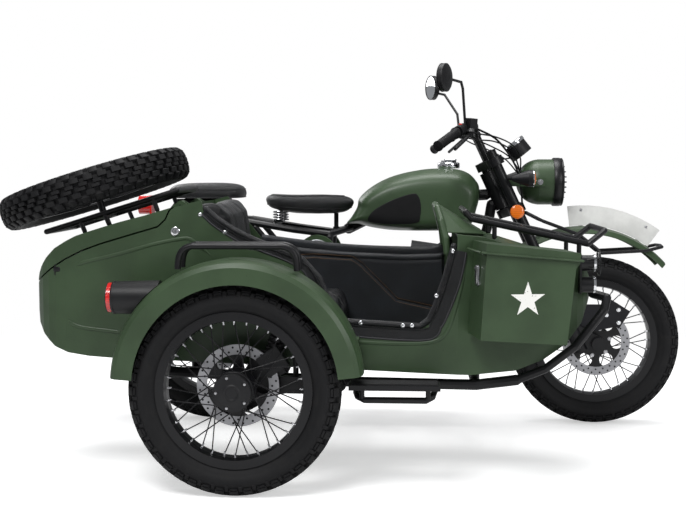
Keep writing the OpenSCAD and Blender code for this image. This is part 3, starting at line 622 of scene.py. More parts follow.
def smooth(points: Any, count: int, closed: bool = False) -> Array:
    """A cubic curve through points, after Catmull and Rom.

    Args:
        points: (N, D) points.
        count: How many points to give back.
        closed: The curve is a loop.

    Returns:
        (count, D): between p1 and p2 the cubic h00 p1 + h10 (p2-p0)/2 + h01 p2 + h11 (p3-p1)/2.
    """
    p = np.asarray(points, float)
    n = len(p)
    if closed:
        index = lambda i: p[i % n]
        t = np.linspace(0, n, count, endpoint=False)
    else:
        index = lambda i: p[np.clip(i, 0, n - 1)]
        t = np.linspace(0, n - 1, count)
    k = np.minimum(np.floor(t).astype(int), n - 1 if closed else n - 2)
    s = (t - k)[:, None]
    p0, p1, p2, p3 = index(k - 1), index(k), index(k + 1), index(k + 2)
    return ((2 * s**3 - 3 * s**2 + 1) * p1 + (s**3 - 2 * s**2 + s) * (p2 - p0) / 2
            + (3 * s**2 - 2 * s**3) * p2 + (s**3 - s**2) * (p3 - p1) / 2)


def tube(path: Any, radius: Any, sides: int = 12, closed: bool = False, flat: float = 1.0) -> Shape:
    """A round or oval rod along a path.

    Args:
        path: (N, 3) points.
        radius: One radius or N of them.
        sides: Sides of the section.
        closed: The path is a loop.
        flat: The section's thickness along the path's own plane normal, as a share of the radius.

    Returns:
        Corner (i, a) at p + r (cos a side + flat sin a normal), where normal is square to the path's best plane.
    """
    p = np.asarray(path, float)
    ahead = (np.roll(p, -1, 0) - np.roll(p, 1, 0)) if closed else np.gradient(p, axis=0)
    ahead = ahead / np.linalg.norm(ahead, axis=1, keepdims=True)
    up = np.linalg.svd(p - p.mean(0))[2][2]
    side = np.cross(ahead, up)
    side = side / np.linalg.norm(side, axis=1, keepdims=True)
    normal = np.cross(side, ahead)
    a = np.linspace(0, 2 * math.pi, sides, endpoint=False)
    r = np.broadcast_to(np.asarray(radius, float).reshape(-1, 1, 1), (len(p), 1, 1))
    cos, sin = np.cos(a)[None, :, None], np.sin(a)[None, :, None]
    points = p[:, None] + r * (cos * side[:, None] + flat * sin * normal[:, None])
    return sheet_of(points, wrap_u=closed, wrap_v=True, caps=not closed)


def slab(outline: Any, low: float, high: float, bevel: float = 0.5) -> Shape:
    """A flat plate with rounded rims.

    Args:
        outline: (N, 2) corners, anticlockwise, in the plate's plane.
        low: Height of its underside.
        high: Height of its top.
        bevel: Width of the rim's chamfer.

    Returns:
        Rings of the outline at four heights, the outer two moved inwards by bevel along the corners' normals.
    """
    p = np.asarray(outline, float)
    d = np.roll(p, -1, 0) - np.roll(p, 1, 0)
    out = np.stack([d[:, 1], -d[:, 0]], 1) / np.maximum(np.linalg.norm(d, axis=1, keepdims=True), 1e-9)
    rings = [(bevel, low), (0.0, low + bevel), (0.0, high - bevel), (bevel, high)]
    points = np.stack([np.column_stack([p - out * inset, np.full(len(p), h)]) for inset, h in rings])
    return sheet_of(points, wrap_v=True, caps=True)


def round_box(size: Any, power: float = 6.0, steps: int = 12) -> Shape:
    """A cushion-edged box.

    Args:
        size: Full lengths on X, Y, Z.
        power: Squareness; 2 is an ellipsoid.
        steps: Rings from pole to pole; twice as many round.

    Returns:
        The superellipsoid with |x/a|^p + |y/b|^p + |z/c|^p = 1, sampled on a sphere's grid.
    """
    v = np.linspace(0.0, math.pi, steps + 1)[:, None]
    u = np.linspace(0, 2 * math.pi, steps * 2, endpoint=False)[None]
    d = np.stack([np.sin(v) * np.cos(u), np.sin(v) * np.sin(u), np.cos(v) + 0 * u], -1)
    d = d / (np.abs(d) ** power).sum(-1, keepdims=True) ** (1.0 / power)
    return sheet_of(d[::-1] * np.asarray(size, float) / 2, wrap_v=True, caps=True)


def bars(starts: Any, ends: Any, radius: float, sides: int = 8) -> Shape:
    """Straight rods from each start to each end."""
    pairs = zip(np.asarray(starts, float), np.asarray(ends, float))
    return joined([tube(np.linspace(a, b, 3), radius, sides) for a, b in pairs])


def coil(low: Any, high: Any, radius: float, wire: float, turns: float, sides: int = 8) -> Shape:
    """A coil spring: p(t) = low + t (high - low) + radius (cos 2 pi turns t, sin 2 pi turns t) across the axis.

    Args:
        low: One end of the axis.
        high: Its other end.
        radius: From the axis to the wire's middle.
        wire: The wire's own radius.
        turns: How many turns.
        sides: Steps round the wire.

    Returns:
        The spring, closed at both ends.
    """
    a, b = np.asarray(low, float), np.asarray(high, float)
    f = basis(b - a)
    t = np.linspace(0, 1, int(turns * 16))[:, None]
    phase = 2 * math.pi * turns * t
    side = np.cos(phase) * f[:, 0] + np.sin(phase) * f[:, 1]
    path = a + t * (b - a) + radius * side
    around = np.linspace(0, 2 * math.pi, sides, endpoint=False)[None, :, None]
    points = path[:, None] + wire * (np.cos(around) * side[:, None] + np.sin(around) * f[:, 2])
    return sheet_of(points[::-1], wrap_v=True, caps=True)


def bolt_heads(places: Any, axis: Any, across: float, height: float, washer: bool = True) -> Shape:
    """Hexagon heads with chamfers on washers, standing on places and facing along axis.

    Args:
        places: (K, 3) places in millimetres.
        axis: The way the heads face, one for all or one each.
        across: Width across the flats.
        height: Height of a head.
        washer: Put a washer below.

    Returns:
        The heads as one mesh.
    """
    r = across / math.sqrt(3)
    head = revolve([(r, 0.0), (r, height * 0.8), (r * 0.86, height), (0.0, height)], 6)
    if washer:
        head = head + revolve([(r * 1.3, 0.0), (r * 1.3, height * 0.22), (r, height * 0.25)], 16)
    places = np.atleast_2d(np.asarray(places, float))
    axes = np.broadcast_to(np.asarray(axis, float), places.shape)
    return head.copies(np.stack([basis(a) for a in axes]), places)


def put(name: str, shape: Shape, finish: Finish, body: str, bevel: float = 0.0,
        levels: int = 0, flat: bool = False) -> bpy.types.Object:
    """Makes a piece from a mesh in millimetres and hangs it on a body.

    Args:
        name: The piece's name.
        shape: Its mesh, from the ground point under the rear axle.
        finish: What it is finished in.
        body: The body that it rides on.
        bevel: Width of a bevel modifier in metres, or 0.
        levels: Levels of subdivision.
        flat: Leave its faces flat.

    Returns:
        The piece's object, at the origin.
    """
    made = bpy.data.objects.new(name, bpy.data.meshes.new(name))
    bpy.context.scene.collection.objects.link(made)
    mesh = made.data
    mesh.from_pydata(mm(shape.verts).tolist(), [], shape.quads.tolist() + [c.tolist() for c in shape.caps])
    mesh.validate()
    mesh.polygons.foreach_set("use_smooth", np.full(len(mesh.polygons), not flat))
    if not flat:
        mesh.set_sharp_from_angle(angle=math.radians(38))
    mesh.materials.append(finish.material())
    if bevel:
        mod = made.modifiers.new("rim", "BEVEL")
        mod.width, mod.segments, mod.limit_method = bevel, 2, "ANGLE"
    if levels:
        mod = made.modifiers.new("round", "SUBSURF")
        mod.levels = mod.render_levels = levels
    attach(made, body)
    log.info("%s: %d faces on %s", name, len(mesh.polygons), body)
    return made


def baked(piece: bpy.types.Object) -> None:
    """Applies every modifier of a piece to its mesh.

    Args:
        piece: The piece, which keeps no modifier.
    """
    graph = bpy.context.evaluated_depsgraph_get()
    graph.update()
    mesh = bpy.data.meshes.new_from_object(piece.evaluated_get(graph))
    piece.modifiers.clear()
    piece.data = mesh


def cling(piece: bpy.types.Object, base: bpy.types.Object, way: tuple[bool, bool], lift: float, thick: float,
          axis: str = "Y") -> None:
    """Presses a thin sheet on to another object along one axis and gives it thickness.

    Args:
        piece: The sheet.
        base: The object that it lies on.
        way: Whether it may move up and down the axis.
        lift: How far it stands off, in metres.
        thick: Its thickness, in metres.
        axis: The axis of the move.
    """
    press = piece.modifiers.new("press", "SHRINKWRAP")
    press.target, press.wrap_method, press.offset = base, "PROJECT", lift
    for letter in "XYZ":
        setattr(press, f"use_project_{letter.lower()}", letter == axis)
    press.use_positive_direction, press.use_negative_direction = way
    baked(piece)
    wall = piece.modifiers.new("wall", "SOLIDIFY")
    wall.thickness, wall.offset = thick, 0.0
    rim = piece.modifiers.new("rim", "BEVEL")
    rim.width, rim.segments, rim.limit_method = thick * 0.3, 2, "ANGLE"
    baked(piece)


# ---------------------------------------------------------------- the plain CAD pieces


@dataclass
class Bodywork:
    """The CAD nodes whose shape stays: each takes its finish."""

    finishes: dict[str, Finish] = field(default_factory=lambda: {
        "frame": BLACK, "head_tube": BLACK, "engine": CAST, "exhaust": CHROME, "fuel_tank": GREEN,
        "filler_cap": CHROME, "rear_fender": GREEN, "tail_lamp": RED_LENS, "plate_bracket": BLACK,
        "swing_arm": BLACK, "chain_guard": BLACK, "shock_absorbers": BLACK, "side_covers": GREEN,
        "footrests": BLACK, "sidecar_frame": BLACK, "tub": GREEN, "entry_trim": HIDE, "cowl": GREEN,
        "nose_rack": BLACK, "ammo_box": GREEN, "nose_lamps": BLACK, "sidecar_fender": GREEN, "fender_rail": BLACK,
        "sidecar_lamp": PLASTIC, "footstep": BLACK, "trailing_arm": BLACK, "trunk_lid": GREEN, "wheel_rack": BLACK,
        "spare_wheel": WHEEL_BLACK, "box_lid": GREEN, "fork": BLACK, "front_caliper": DARK_CAST,
        "front_fender": GREEN, "fender_stays": BLACK, "front_plate": PLATE_WHITE, "handlebar": BLACK,
        "controls": PLASTIC, "mirrors": PLASTIC, "headlamp": GREEN, "gauge_pod": PLASTIC, "indicators": PLASTIC,
        "front_wheel": WHEEL_BLACK, "rear_wheel": WHEEL_BLACK, "side_wheel": WHEEL_BLACK})
    facets: float = 32.0
    rounder: dict[str, float] = field(default_factory=lambda: {
        "sidecar_fender": 62.0, "front_fender": 62.0, "rear_fender": 62.0, "frame": 50.0, "sidecar_frame": 50.0,
        "nose_rack": 50.0, "fender_rail": 50.0, "entry_trim": 60.0, "exhaust": 50.0, "wheel_rack": 50.0,
        "fender_stays": 50.0, "handlebar": 50.0, "footstep": 50.0, "cowl": 55.0, "headlamp": 50.0})

    def dress(self) -> None:
        """Puts each finish in its node's slots and shades its curves smooth."""
        for name, finish in self.finishes.items():
            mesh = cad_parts[name].data
            mesh.materials.clear()
            mesh.materials.append(finish.material())
            mesh.polygons.foreach_set("use_smooth", np.ones(len(mesh.polygons), bool))
            mesh.set_sharp_from_angle(angle=math.radians(self.rounder.get(name, self.facets)))
            log.info("%s: finished in %s", name, finish.name)


# ---------------------------------------------------------------- wheels


class Tread(Enum):
    """How the tread's rows are cut: (knob length, knob width) of middle, side and shoulder rows, and knobs round."""

    ROAD = ((25.0, 22.0), (27.0, 17.0), (24.0, 21.0), 50)
    KNOB = ((27.0, 24.0), (29.0, 17.0), (27.0, 22.0), 44)


@dataclass
class Tyre:
    """A block-tread tyre that stands for its CAD node."""

    node: str
    body: str
    centre: tuple[float, float, float]
    tread: Tread = Tread.KNOB
    lean: float = 0.0

    def frame(self) -> Array:
        """Columns: the wheel's forward, up and axle directions; the axle is Y unless the wheel lies down.

        Returns:
            (3, 3), one direction to a column.
        """
        if not self.lean:
            return np.array([[1.0, 0, 0], [0, 0, 1.0], [0, -1.0, 0]]).T
        a = math.radians(self.lean)
        return np.stack([[math.cos(a), 0, math.sin(a)], [0, 1.0, 0], [-math.sin(a), 0, math.cos(a)]], 1)

    def carcass(self) -> Shape:
        """The casing: a smooth loop of (radius, half width) turned about the axle, with ribs on the wall.

        Returns:
            The casing in the wheel's own frame.
        """
        half = [(229.9, 24), (229.9, 32.4), (246, 33.1), (250, 36.5), (257, 42.5), (261, 43.8), (266, 47.8),
                (274, 52.2), (284, 54.8), (290, 55.0), (297, 52.0), (304, 47.0), (310, 42.0), (314.5, 33.0),
                (317.4, 20.0), (318, 0)]
        loop = np.array(half + [(r, -w) for r, w in half[-2::-1]])
        return revolve(loop, 144, closed=True)

    def knob(self, length: float, width: float, low: float, high: float) -> Shape:
        """One tread block: two rings of four corners and a smaller top, from height low to high.

        Args:
            length: The block's length round the tyre.
            width: Its width across the tyre.
            low: Height of its foot.
            high: Height of its top.

        Returns:
            The block, standing along Z.
        """
        x, y = np.array([-1, 1, 1, -1]) / 2, np.array([-1, -1, 1, 1]) / 2
        rings = [(1.08, 1.10, low), (1.0, 1.0, high - 1.2), (0.88, 0.88, high)]
        points = np.stack([np.stack([x * length * a, y * width * b, np.full(4, h)], -1) for a, b, h in rings])
        return sheet_of(points, wrap_v=True, caps=True)

    def row(self, size: tuple[float, float], offset: float, radius: float, tilt: float, low: float, phase: float,
            count: int) -> Shape:
        """A ring of blocks at one place across the tread, tilted outwards and spaced evenly round.

        Args:
            size: A block's length and width.
            offset: The row's place across the tread.
            radius: The blocks' tops, from the axle.
            tilt: Degrees that the tops lean outwards.
            low: Height of the blocks' feet, from their tops.
            phase: Steps that the row is turned by.
            count: Blocks in the row.

        Returns:
            The row in the wheel's own frame.
        """
        block = self.knob(size[0], size[1], low, 0.0)
        t = math.radians(tilt)
        lean = np.array([[1, 0, 0], [0, math.cos(t), math.sin(t)], [0, -math.sin(t), math.cos(t)]])
        block = block.moved(lean, (0, offset, radius))
        a = (np.arange(count) + phase) * 2 * math.pi / count
        zero = np.zeros(count)
        turns = np.stack([np.stack([-np.sin(a), zero, np.cos(a)], -1), np.stack([np.cos(a), zero, np.sin(a)], -1),
                          np.stack([zero, np.ones(count), zero], -1)], 1)
        return block.copies(turns, np.zeros((count, 3)))

    def blocks(self) -> Shape:
        """Middle, side and shoulder rows and short lugs on the wall, in the wheel's own frame.

        Returns:
            All the rows as one mesh.
        """
        mid, side, edge, count = self.tread.value
        rows = [self.row((mid[0], mid[1] / 2.1), s * mid[1] / 3.5, 329.8, 0.0, -13.0, 0.10 * s, count) for s in (-1, 1)]
        for s in (-1, 1):
            rows.append(self.row(side, s * 24.5, 327.6, s * 11.0, -13.5, 0.5 + 0.05 * s, count))
            rows.append(self.row(edge, s * 44.6, 318.0, s * 44.0, -15.0, 0.02 * s, count))
            rows.append(self.row((12.0, 17.0), s * 53.6, 301.5, s * 76.0, -9.0, 0.02 * s + 0.5, count))
            rows.append(self.row((23.0, 7.0), s * 53.8, 303.5, s * 76.0, -9.0, 0.02 * s, count))
        return joined(rows)

    def build(self) -> None:
        """Makes casing and blocks as one piece in place of the CAD tyre."""
        shape = (self.carcass() + self.blocks()).moved(self.frame(), self.centre)
        made = put(self.node + "_treaded", shape, TYRE, self.body)
        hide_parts(self.node)


@dataclass
class WheelTrim:
    """What is fitted to a wheel: spoke nipples, and a drilled disc ring with its bolts."""

    name: str
    body: str
    centre: tuple[float, float, float]
    disc_y: Optional[float]
    slot: str = "wheel_black"
    spokes: int = 36
    lean: float = 0.0

    def local(self, shape: Shape) -> Shape:
        """From the wheel's own frame, with its axle on Z, to its place."""
        return shape.moved(Tyre("", "", self.centre, lean=self.lean).frame(), self.centre)

    def axle_shape(self, profile: Any, y: float, sides: int = 64, closed: bool = False) -> Shape:
        """A turned shape round the axle, its zero height at y and its heights growing outwards."""
        way = 1.0 if y > self.centre[1] else -1.0
        return revolve(profile, sides, closed).moved(basis((0, way, 0)), (self.centre[0], y, self.centre[2]))

    def nipples(self) -> Shape:
        """A small cone where each spoke meets the rim.

        Returns:
            The cones in the wheel's own frame.
        """
        cone = revolve([(0.0, 0.0), (2.6, 0.0), (3.3, 9.0), (4.6, 12.5), (0.0, 12.5)], 8)
        i = np.arange(self.spokes)
        a = i * 2 * math.pi / self.spokes
        out = np.stack([np.cos(a), np.sin(a), np.zeros_like(a)], -1)
        side = np.where(i % 2 == 0, 1.0, -1.0)
        frames = np.stack([basis(o) for o in out])
        return cone.copies(frames, out * 200.5 + np.stack([0 * a, 0 * a, side * -9.0], -1))

    def build(self) -> None:
        """Makes the trim."""
        put(self.name + "_nipples", self.local(self.nipples()), STEEL, self.body)
        if self.disc_y is not None:
            self.disc()

    def disc(self) -> None:
        """A turned steel ring over the disc's brake track, its holes as solid dark discs of painted shade, and the
        bolts round the hub.
        """
        x, z = self.centre[0], self.centre[2]
        ring = self.axle_shape([(98, -2.95), (98.6, -3.05), (129.6, -3.05), (130.3, -2.5), (130.3, 2.5), (129.6, 3.05),
                                (98.6, 3.05), (98, 2.95)], self.disc_y, 128, closed=True)
        put(self.name + "_disc_ring", ring, Turned(self.name + "_turned_steel", (0.40, 0.40, 0.42), 0.34,
            (mm((x, 0, z))[0], mm((x, 0, z))[2])), self.body)
        k = np.arange(48)
        a = k * 2 * math.pi / 48
        reach = np.where(k % 2 == 0, 108.0, 121.0)
        spots = np.stack([x + reach * np.cos(a), np.full(48, self.disc_y), z + reach * np.sin(a)], -1)
        # The drillings are solid near-black discs: painted shade, not open holes.
        hole = revolve([(0.0, -3.2), (3.6, -3.2), (3.6, 3.2), (0.0, 3.2)], 12).moved(basis((0, 1, 0)))
        put(self.name + "_disc_holes", hole.copies(upright(48), spots), HOLE_SHADE, self.body)
        b = np.arange(6) * math.pi / 3 + 0.26
        bolts = np.stack([x + 54 * np.cos(b), np.full(6, self.disc_y), z + 54 * np.sin(b)], -1)
        heads = [bolt_heads(bolts + (0, s * 2.5, 0), (0, s, 0), 10.0, 4.0) for s in (-1, 1)]
        put(self.name + "_disc_bolts", joined(heads), STEEL, self.body)


@dataclass
class HubCover:
    """The sidecar wheel's cover: a stepped cap with five lugs."""

    centre: tuple[float, float, float] = (SIDE_LEAD, -1190.0, AXLE_Z)

    def build(self) -> None:
        """Turned cap with a recess, and lugs round it."""
        cap = revolve([(0, -3), (17, -3), (18, 1), (20, 2.6), (24, 2.8), (26, 1.2), (30, 0.4), (44, 0.2), (50, -1.5),
                       (53, -5), (58.4, -8), (58.4, -34), (60.5, -36)], 96)
        lug = revolve([(0.0, 1.2), (8.4, 1.0), (10.6, -1.0), (11.0, -30.0)], 32)
        bolt = revolve([(0.0, 4.2), (3.4, 3.8), (5.0, 2.2), (5.0, 0.8)], 6)
        a = np.arange(5) * 2 * math.pi / 5 + 0.3
        spots = np.stack([48.6 * np.cos(a), 48.6 * np.sin(a), 0 * a], -1)
        turns = upright(5)
        lugs, bolts = lug.copies(turns, spots), bolt.copies(turns, spots)
        put("hub_cover_bolts", bolts.moved(basis((0, -1, 0)), self.centre), STEEL, "sidecar_wheel")
        put("hub_cover", cap.moved(basis((0, -1, 0)), self.centre), PLASTIC, "sidecar_wheel")
        put("hub_cover_lugs", lugs.moved(basis((0, -1, 0)), self.centre), PLASTIC, "sidecar_wheel")


# ---------------------------------------------------------------- soft goods


@dataclass
class Pad:
    """A stuffed seat pad: a copy of its CAD solid, shrunk, remeshed and blown up as cloth."""

    node: str
    body: str
    voxel: float = 0.006
    shrink: float = 0.985
    cap: float = 0.010
    pressure: float = 4.0
    channels: tuple[tuple[str, tuple[float, ...], float, float], ...] = ()
    fill: float = 0.8
    finish: Finish = HIDE

    def start(self) -> bpy.types.Object:
        """A closed remeshed copy of the CAD solid, a little smaller about its middle.

        Returns:
            The pad's object, not yet blown up.
        """
        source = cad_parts[self.node]
        made = bpy.data.objects.new(self.node + "_pad", source.data.copy())
        bpy.context.scene.collection.objects.link(made)
        weld = made.modifiers.new("weld", "WELD")
        weld.merge_threshold = 0.00005
        baked(made)
        co = self.points(made.data)
        middle = (co.min(0) + co.max(0)) / 2
        self.place(made.data, middle + (co - middle) * self.shrink)
        mesh = made.modifiers.new("mesh", "REMESH")
        mesh.mode, mesh.voxel_size = "VOXEL", self.voxel
        baked(made)
        made.data.materials.clear()
        made.data.materials.append(self.finish.material())
        return made

    @staticmethod
    def points(mesh: bpy.types.Mesh) -> Array:
        """A mesh's corners as an array.

        Args:
            mesh: The mesh to read.

        Returns:
            (N, 3) corners in metres.
        """
        co = np.empty(len(mesh.vertices) * 3)
        mesh.vertices.foreach_get("co", co)
        return co.reshape(-1, 3)

    @staticmethod
    def normals(mesh: bpy.types.Mesh) -> Array:
        """A mesh's corner normals as an array.

        Args:
            mesh: The mesh to read.

        Returns:
            (N, 3) unit normals.
        """
        no = np.empty(len(mesh.vertices) * 3, np.float32)
        mesh.vertices.foreach_get("normal", no)
        return no.reshape(-1, 3).astype(float)

    @staticmethod
    def place(mesh: bpy.types.Mesh, co: Array) -> None:
        """Puts an array of corners in a mesh."""
        mesh.vertices.foreach_set("co", co.ravel())
        mesh.update()

    def blow(self, made: bpy.types.Object) -> None:
        """Runs the cloth for 20 frames and holds each corner within the cap of where it began.

        Args:
            made: The pad's object.
        """
        before = self.points(made.data)
        cloth = made.modifiers.new("cloth", "CLOTH")
        cloth.settings.use_pressure = True
        cloth.settings.uniform_pressure_force = self.pressure
        cloth.settings.effector_weights.gravity = 0.0
        cloth.settings.quality = 4
        cloth.point_cache.frame_start, cloth.point_cache.frame_end = 1, 20
        scene = bpy.context.scene
        for number in range(1, 21):
            scene.frame_set(number)
        baked(made)
        scene.frame_set(1)
        after = self.points(made.data)
        move = after - before
        far = np.linalg.norm(move, axis=1, keepdims=True)
        self.place(made.data, before + move * np.minimum(1.0, self.cap / np.maximum(far, 1e-9)))

    def within(self, made: bpy.types.Object, low: Array, high: Array) -> None:
        """Keeps the pad in the room that its CAD solid holds."""
        self.place(made.data, np.clip(self.points(made.data), low, high))

    def sew(self, made: bpy.types.Object) -> None:
        """Sinks a channel along each seam: p - n depth exp(-(d / width)^2), d from the seam's plane.

        Args:
            made: The pad's object.
        """
        for axis, seams, width, depth in self.channels:
            co, no = self.points(made.data), self.normals(made.data)
            k = "xyz".index(axis)
            gap = np.abs(co[:, k, None] - np.asarray(seams)[None]).min(1)
            sink = depth * np.exp(-((gap / width) ** 2)) * (1 - np.abs(no[:, k]))
            self.place(made.data, co - no * sink[:, None])

    def build(self) -> bpy.types.Object:
        """Makes the pad in place of its CAD solid.

        Returns:
            The finished pad.
        """
        low, high = (np.array(v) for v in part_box(self.node))
        made = self.start()
        self.blow(made)
        self.within(made, low, high)
        soften = made.modifiers.new("soften", "SMOOTH")
        soften.factor, soften.iterations = 0.5, 4
        baked(made)
        if self.channels:
            fine = made.modifiers.new("fine", "SUBSURF")
            fine.levels = fine.render_levels = 1
            baked(made)
            self.sew(made)
        made.data.polygons.foreach_set("use_smooth", np.ones(len(made.data.polygons), bool))
        if not self.channels:
            fine = made.modifiers.new("fine", "SUBSURF")
            fine.levels = fine.render_levels = 1
        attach(made, self.body)
        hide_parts(self.node)
        log.info("%s: %d faces on %s", made.name, len(made.data.polygons), self.body)
        return made


@dataclass
class Cockpit:
    """Lining, seats and the snaps of the entry's flap."""

    seam: tuple[tuple[float, ...], tuple[float, ...]] = ((265, 436, 575, 610, 738, 900), (680, 692, 684, 661, 533, 498))
    face_y: float = -433.0
    back_y: float = -405.6
    snaps: tuple[tuple[float, float], ...] = (
        (922, 748), (871, 606), (631, 518), (765, 510), (794, 510), (118, 862), (196, 806))

    def lining(self) -> None:
        """A padded panel: its depth grows as 1 - (1 - e)^3, e rising from the rim, less its seams."""
        u = np.linspace(0, 1, 121)[:, None]
        v = np.linspace(0, 1, 61)[None]
        x = 268 + (914 - 268) * u + 0 * v
        x = x - np.maximum(0, u - 0.92) * 90 * np.abs(v - 0.55) * 2
        low = np.interp(x, [265, 900, 920], [427, 403, 412])
        high = np.interp(x, [265, 383, 530, 760, 880, 912], [738, 724, 710, 700, 704, 709])
        z = low + (high - low) * v
        rim = np.minimum(np.minimum(u, 1 - u) * 645, np.minimum(v, 1 - v) * 290) + 0 * x
        puff = 1 - np.clip(1 - rim / 16.0, 0, 1) ** 3
        seam_z = np.interp(x, *self.seam)
        seam = np.exp(-(((z - seam_z) / 4.5) ** 2))
        roll = np.exp(-(((high - 26 - z) / 4.0) ** 2)) * 0.8
        wave = 1.2 * np.sin(x / 31.0) * np.sin(z / 43.0)
        y = self.back_y - 4 - (self.back_y - self.face_y - 4) * puff + 5.0 * seam + 4.5 * roll - wave * puff * 0.6
        y = np.maximum(y, self.face_y + 0.2)
        front = np.stack([x, y, z], -1)
        back = np.stack([x, np.full_like(x, self.back_y), z], -1)
        edge = lambda g: np.concatenate([g[:, 0], g[-1, 1:], g[-2::-1, -1], g[0, -2:0:-1]])
        shape = sheet_of(front) + sheet_of(back[::-1]) + sheet_of(np.stack([edge(back), edge(front)]), wrap_v=True)
        made = put("cockpit_lining_pad", shape, QUILT, "chassis")
        weld = made.modifiers.new("weld", "WELD")
        weld.merge_threshold = 0.00002
        baked(made)
        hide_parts("cockpit_lining")
        self.thread()

    def thread(self) -> None:
        """Two rows of tan stitches beside the seam: short rounded beads along the seam's line."""
        xs = np.linspace(300, 880, 145)
        zs = np.interp(xs, *self.seam)
        way = np.stack([np.gradient(xs), 0 * xs, np.gradient(zs)], -1)
        way = way / np.linalg.norm(way, axis=1, keepdims=True)
        bead = round_box((1.3, 1.3, 3.2), 2.4, 4)
        frames = np.stack([basis(w, (0, 1, 0)) for w in way])
        level = np.full_like(xs, self.face_y + 0.35)
        rows = [bead.copies(frames, np.stack([xs - way[:, 2] * d, level, zs + way[:, 0] * d], -1)) for d in (-7.0, 7.0)]
        put("lining_stitches", joined(rows), TAN_THREAD, "chassis")

    def flap(self) -> None:
        """The entry's leather flap: a ribbon along the entry's edge, laid on the tub's side and rolled over its edge.

        Across the ribbon, the first four points roll over the edge and the other nine lie flat.
        """
        edge = smooth([(128, 869), (163, 838), (218, 802), (282, 771), (436, 710), (487, 653), (538, 531), (580, 509),
                       (820, 495), (858, 521), (883, 575), (914, 671), (934, 752)], 180)
        way = np.gradient(edge, axis=0)
        way = way / np.linalg.norm(way, axis=1, keepdims=True)
        out = np.stack([way[:, 1], -way[:, 0]], -1)
        u = np.linspace(0, 1, 180)
        wide = np.interp(u, [0, 0.12, 0.30, 0.42, 0.55, 0.80, 0.9, 1.0], [12, 14, 16, 24, 34, 36, 40, 34])
        v = np.array([0.0, 0.25, 0.5, 0.75, 1.0])
        reach = np.concatenate([-6 + 6 * v[:4], np.linspace(0, 1, 9)])
        lift = np.concatenate([[6.0, 6.2, 5.2, 3.6], 2.4 - 0.6 * np.linspace(0, 1, 9)])
        off = reach[None] * np.where(np.arange(13) < 4, 1.0, wide[:, None])
        wall = -960.0 + np.maximum(0, edge[:, 0] - NOSE_START) * math.tan(math.radians(NOSE_TAPER))
        x = edge[:, :1] + out[:, :1] * off
        z = edge[:, 1:] + out[:, 1:] * off
        ripple = 0.5 * np.sin(edge[:, :1] / 17.0) * np.clip(off / 20.0, 0, 1)
        top = np.stack([x, wall[:, None] - lift[None] - ripple, z], -1)
        low = np.stack([x, np.repeat(wall[:, None] - 0.4, 13, 1), z], -1)
        section = np.concatenate([top, low[:, ::-1]], 1)
        put("entry_flap", sheet_of(section, wrap_v=True, caps=True), HIDE, "chassis")
        path = np.stack([edge[:, 0] + out[:, 0] * (wide - 4), wall - 2.6, edge[:, 1] + out[:, 1] * (wide - 4)], -1)
        put("entry_flap_hem", tube(path, 1.6, 8), GREY_THREAD, "chassis")

    def top_roll(self) -> None:
        """A padded roll over the far wall's top: a tube of radius 12.5 + 0.5 sin, drawn down to the lining."""
        line = smooth([(243, 754), (383, 737), (530, 722), (760, 712), (880, 717), (930, 762)], 120)
        r = 12.5 + 0.5 * np.sin(np.arange(120) / 5.0)
        path = np.stack([line[:, 0], np.full(120, -403.5), line[:, 1] + 1.0], -1)
        shape = tube(path, r, 24)
        drop = shape.verts[:, 2] - np.interp(shape.verts[:, 0], path[:, 0], path[:, 2])
        shape.verts[:, 2] += np.where(drop < 0, 1.6 * drop, 0.0)
        made = put("lining_roll", shape, QUILT, "chassis")

    def snap_row(self) -> None:
        """Chrome press studs on the flap: low domes with a rolled rim."""
        dome = revolve([(0.0, 3.0), (3.0, 2.7), (5.2, 1.6), (6.3, 1.9), (7.2, 1.0), (7.4, 0.0)], 24)
        p = np.array(self.snaps)
        places = np.stack([p[:, 0], np.full(len(p), -961.6), p[:, 1]], -1)
        turns = np.repeat(basis((0, -1, 0))[None], len(p), 0)
        put("flap_snaps", dome.copies(turns, places), CHROME, "chassis")

    def build(self) -> None:
        """Makes the lining, both seats and the studs."""
        self.lining()
        self.top_roll()
        self.flap()
        self.snap_row()
        y0, y1 = -0.9377 + 0.376, -0.4336 + 0.376
        seams = tuple(np.linspace(y0, y1, 8)[1:-1])
        for node, width, depth in (("seat_back", 0.013, 0.020), ("seat_cushion", 0.010, 0.012)):
            Pad(node, "chassis", voxel=0.0065, shrink=0.975, cap=0.015,
                channels=(("y", (seams[1], seams[4]), width, depth),)).build()


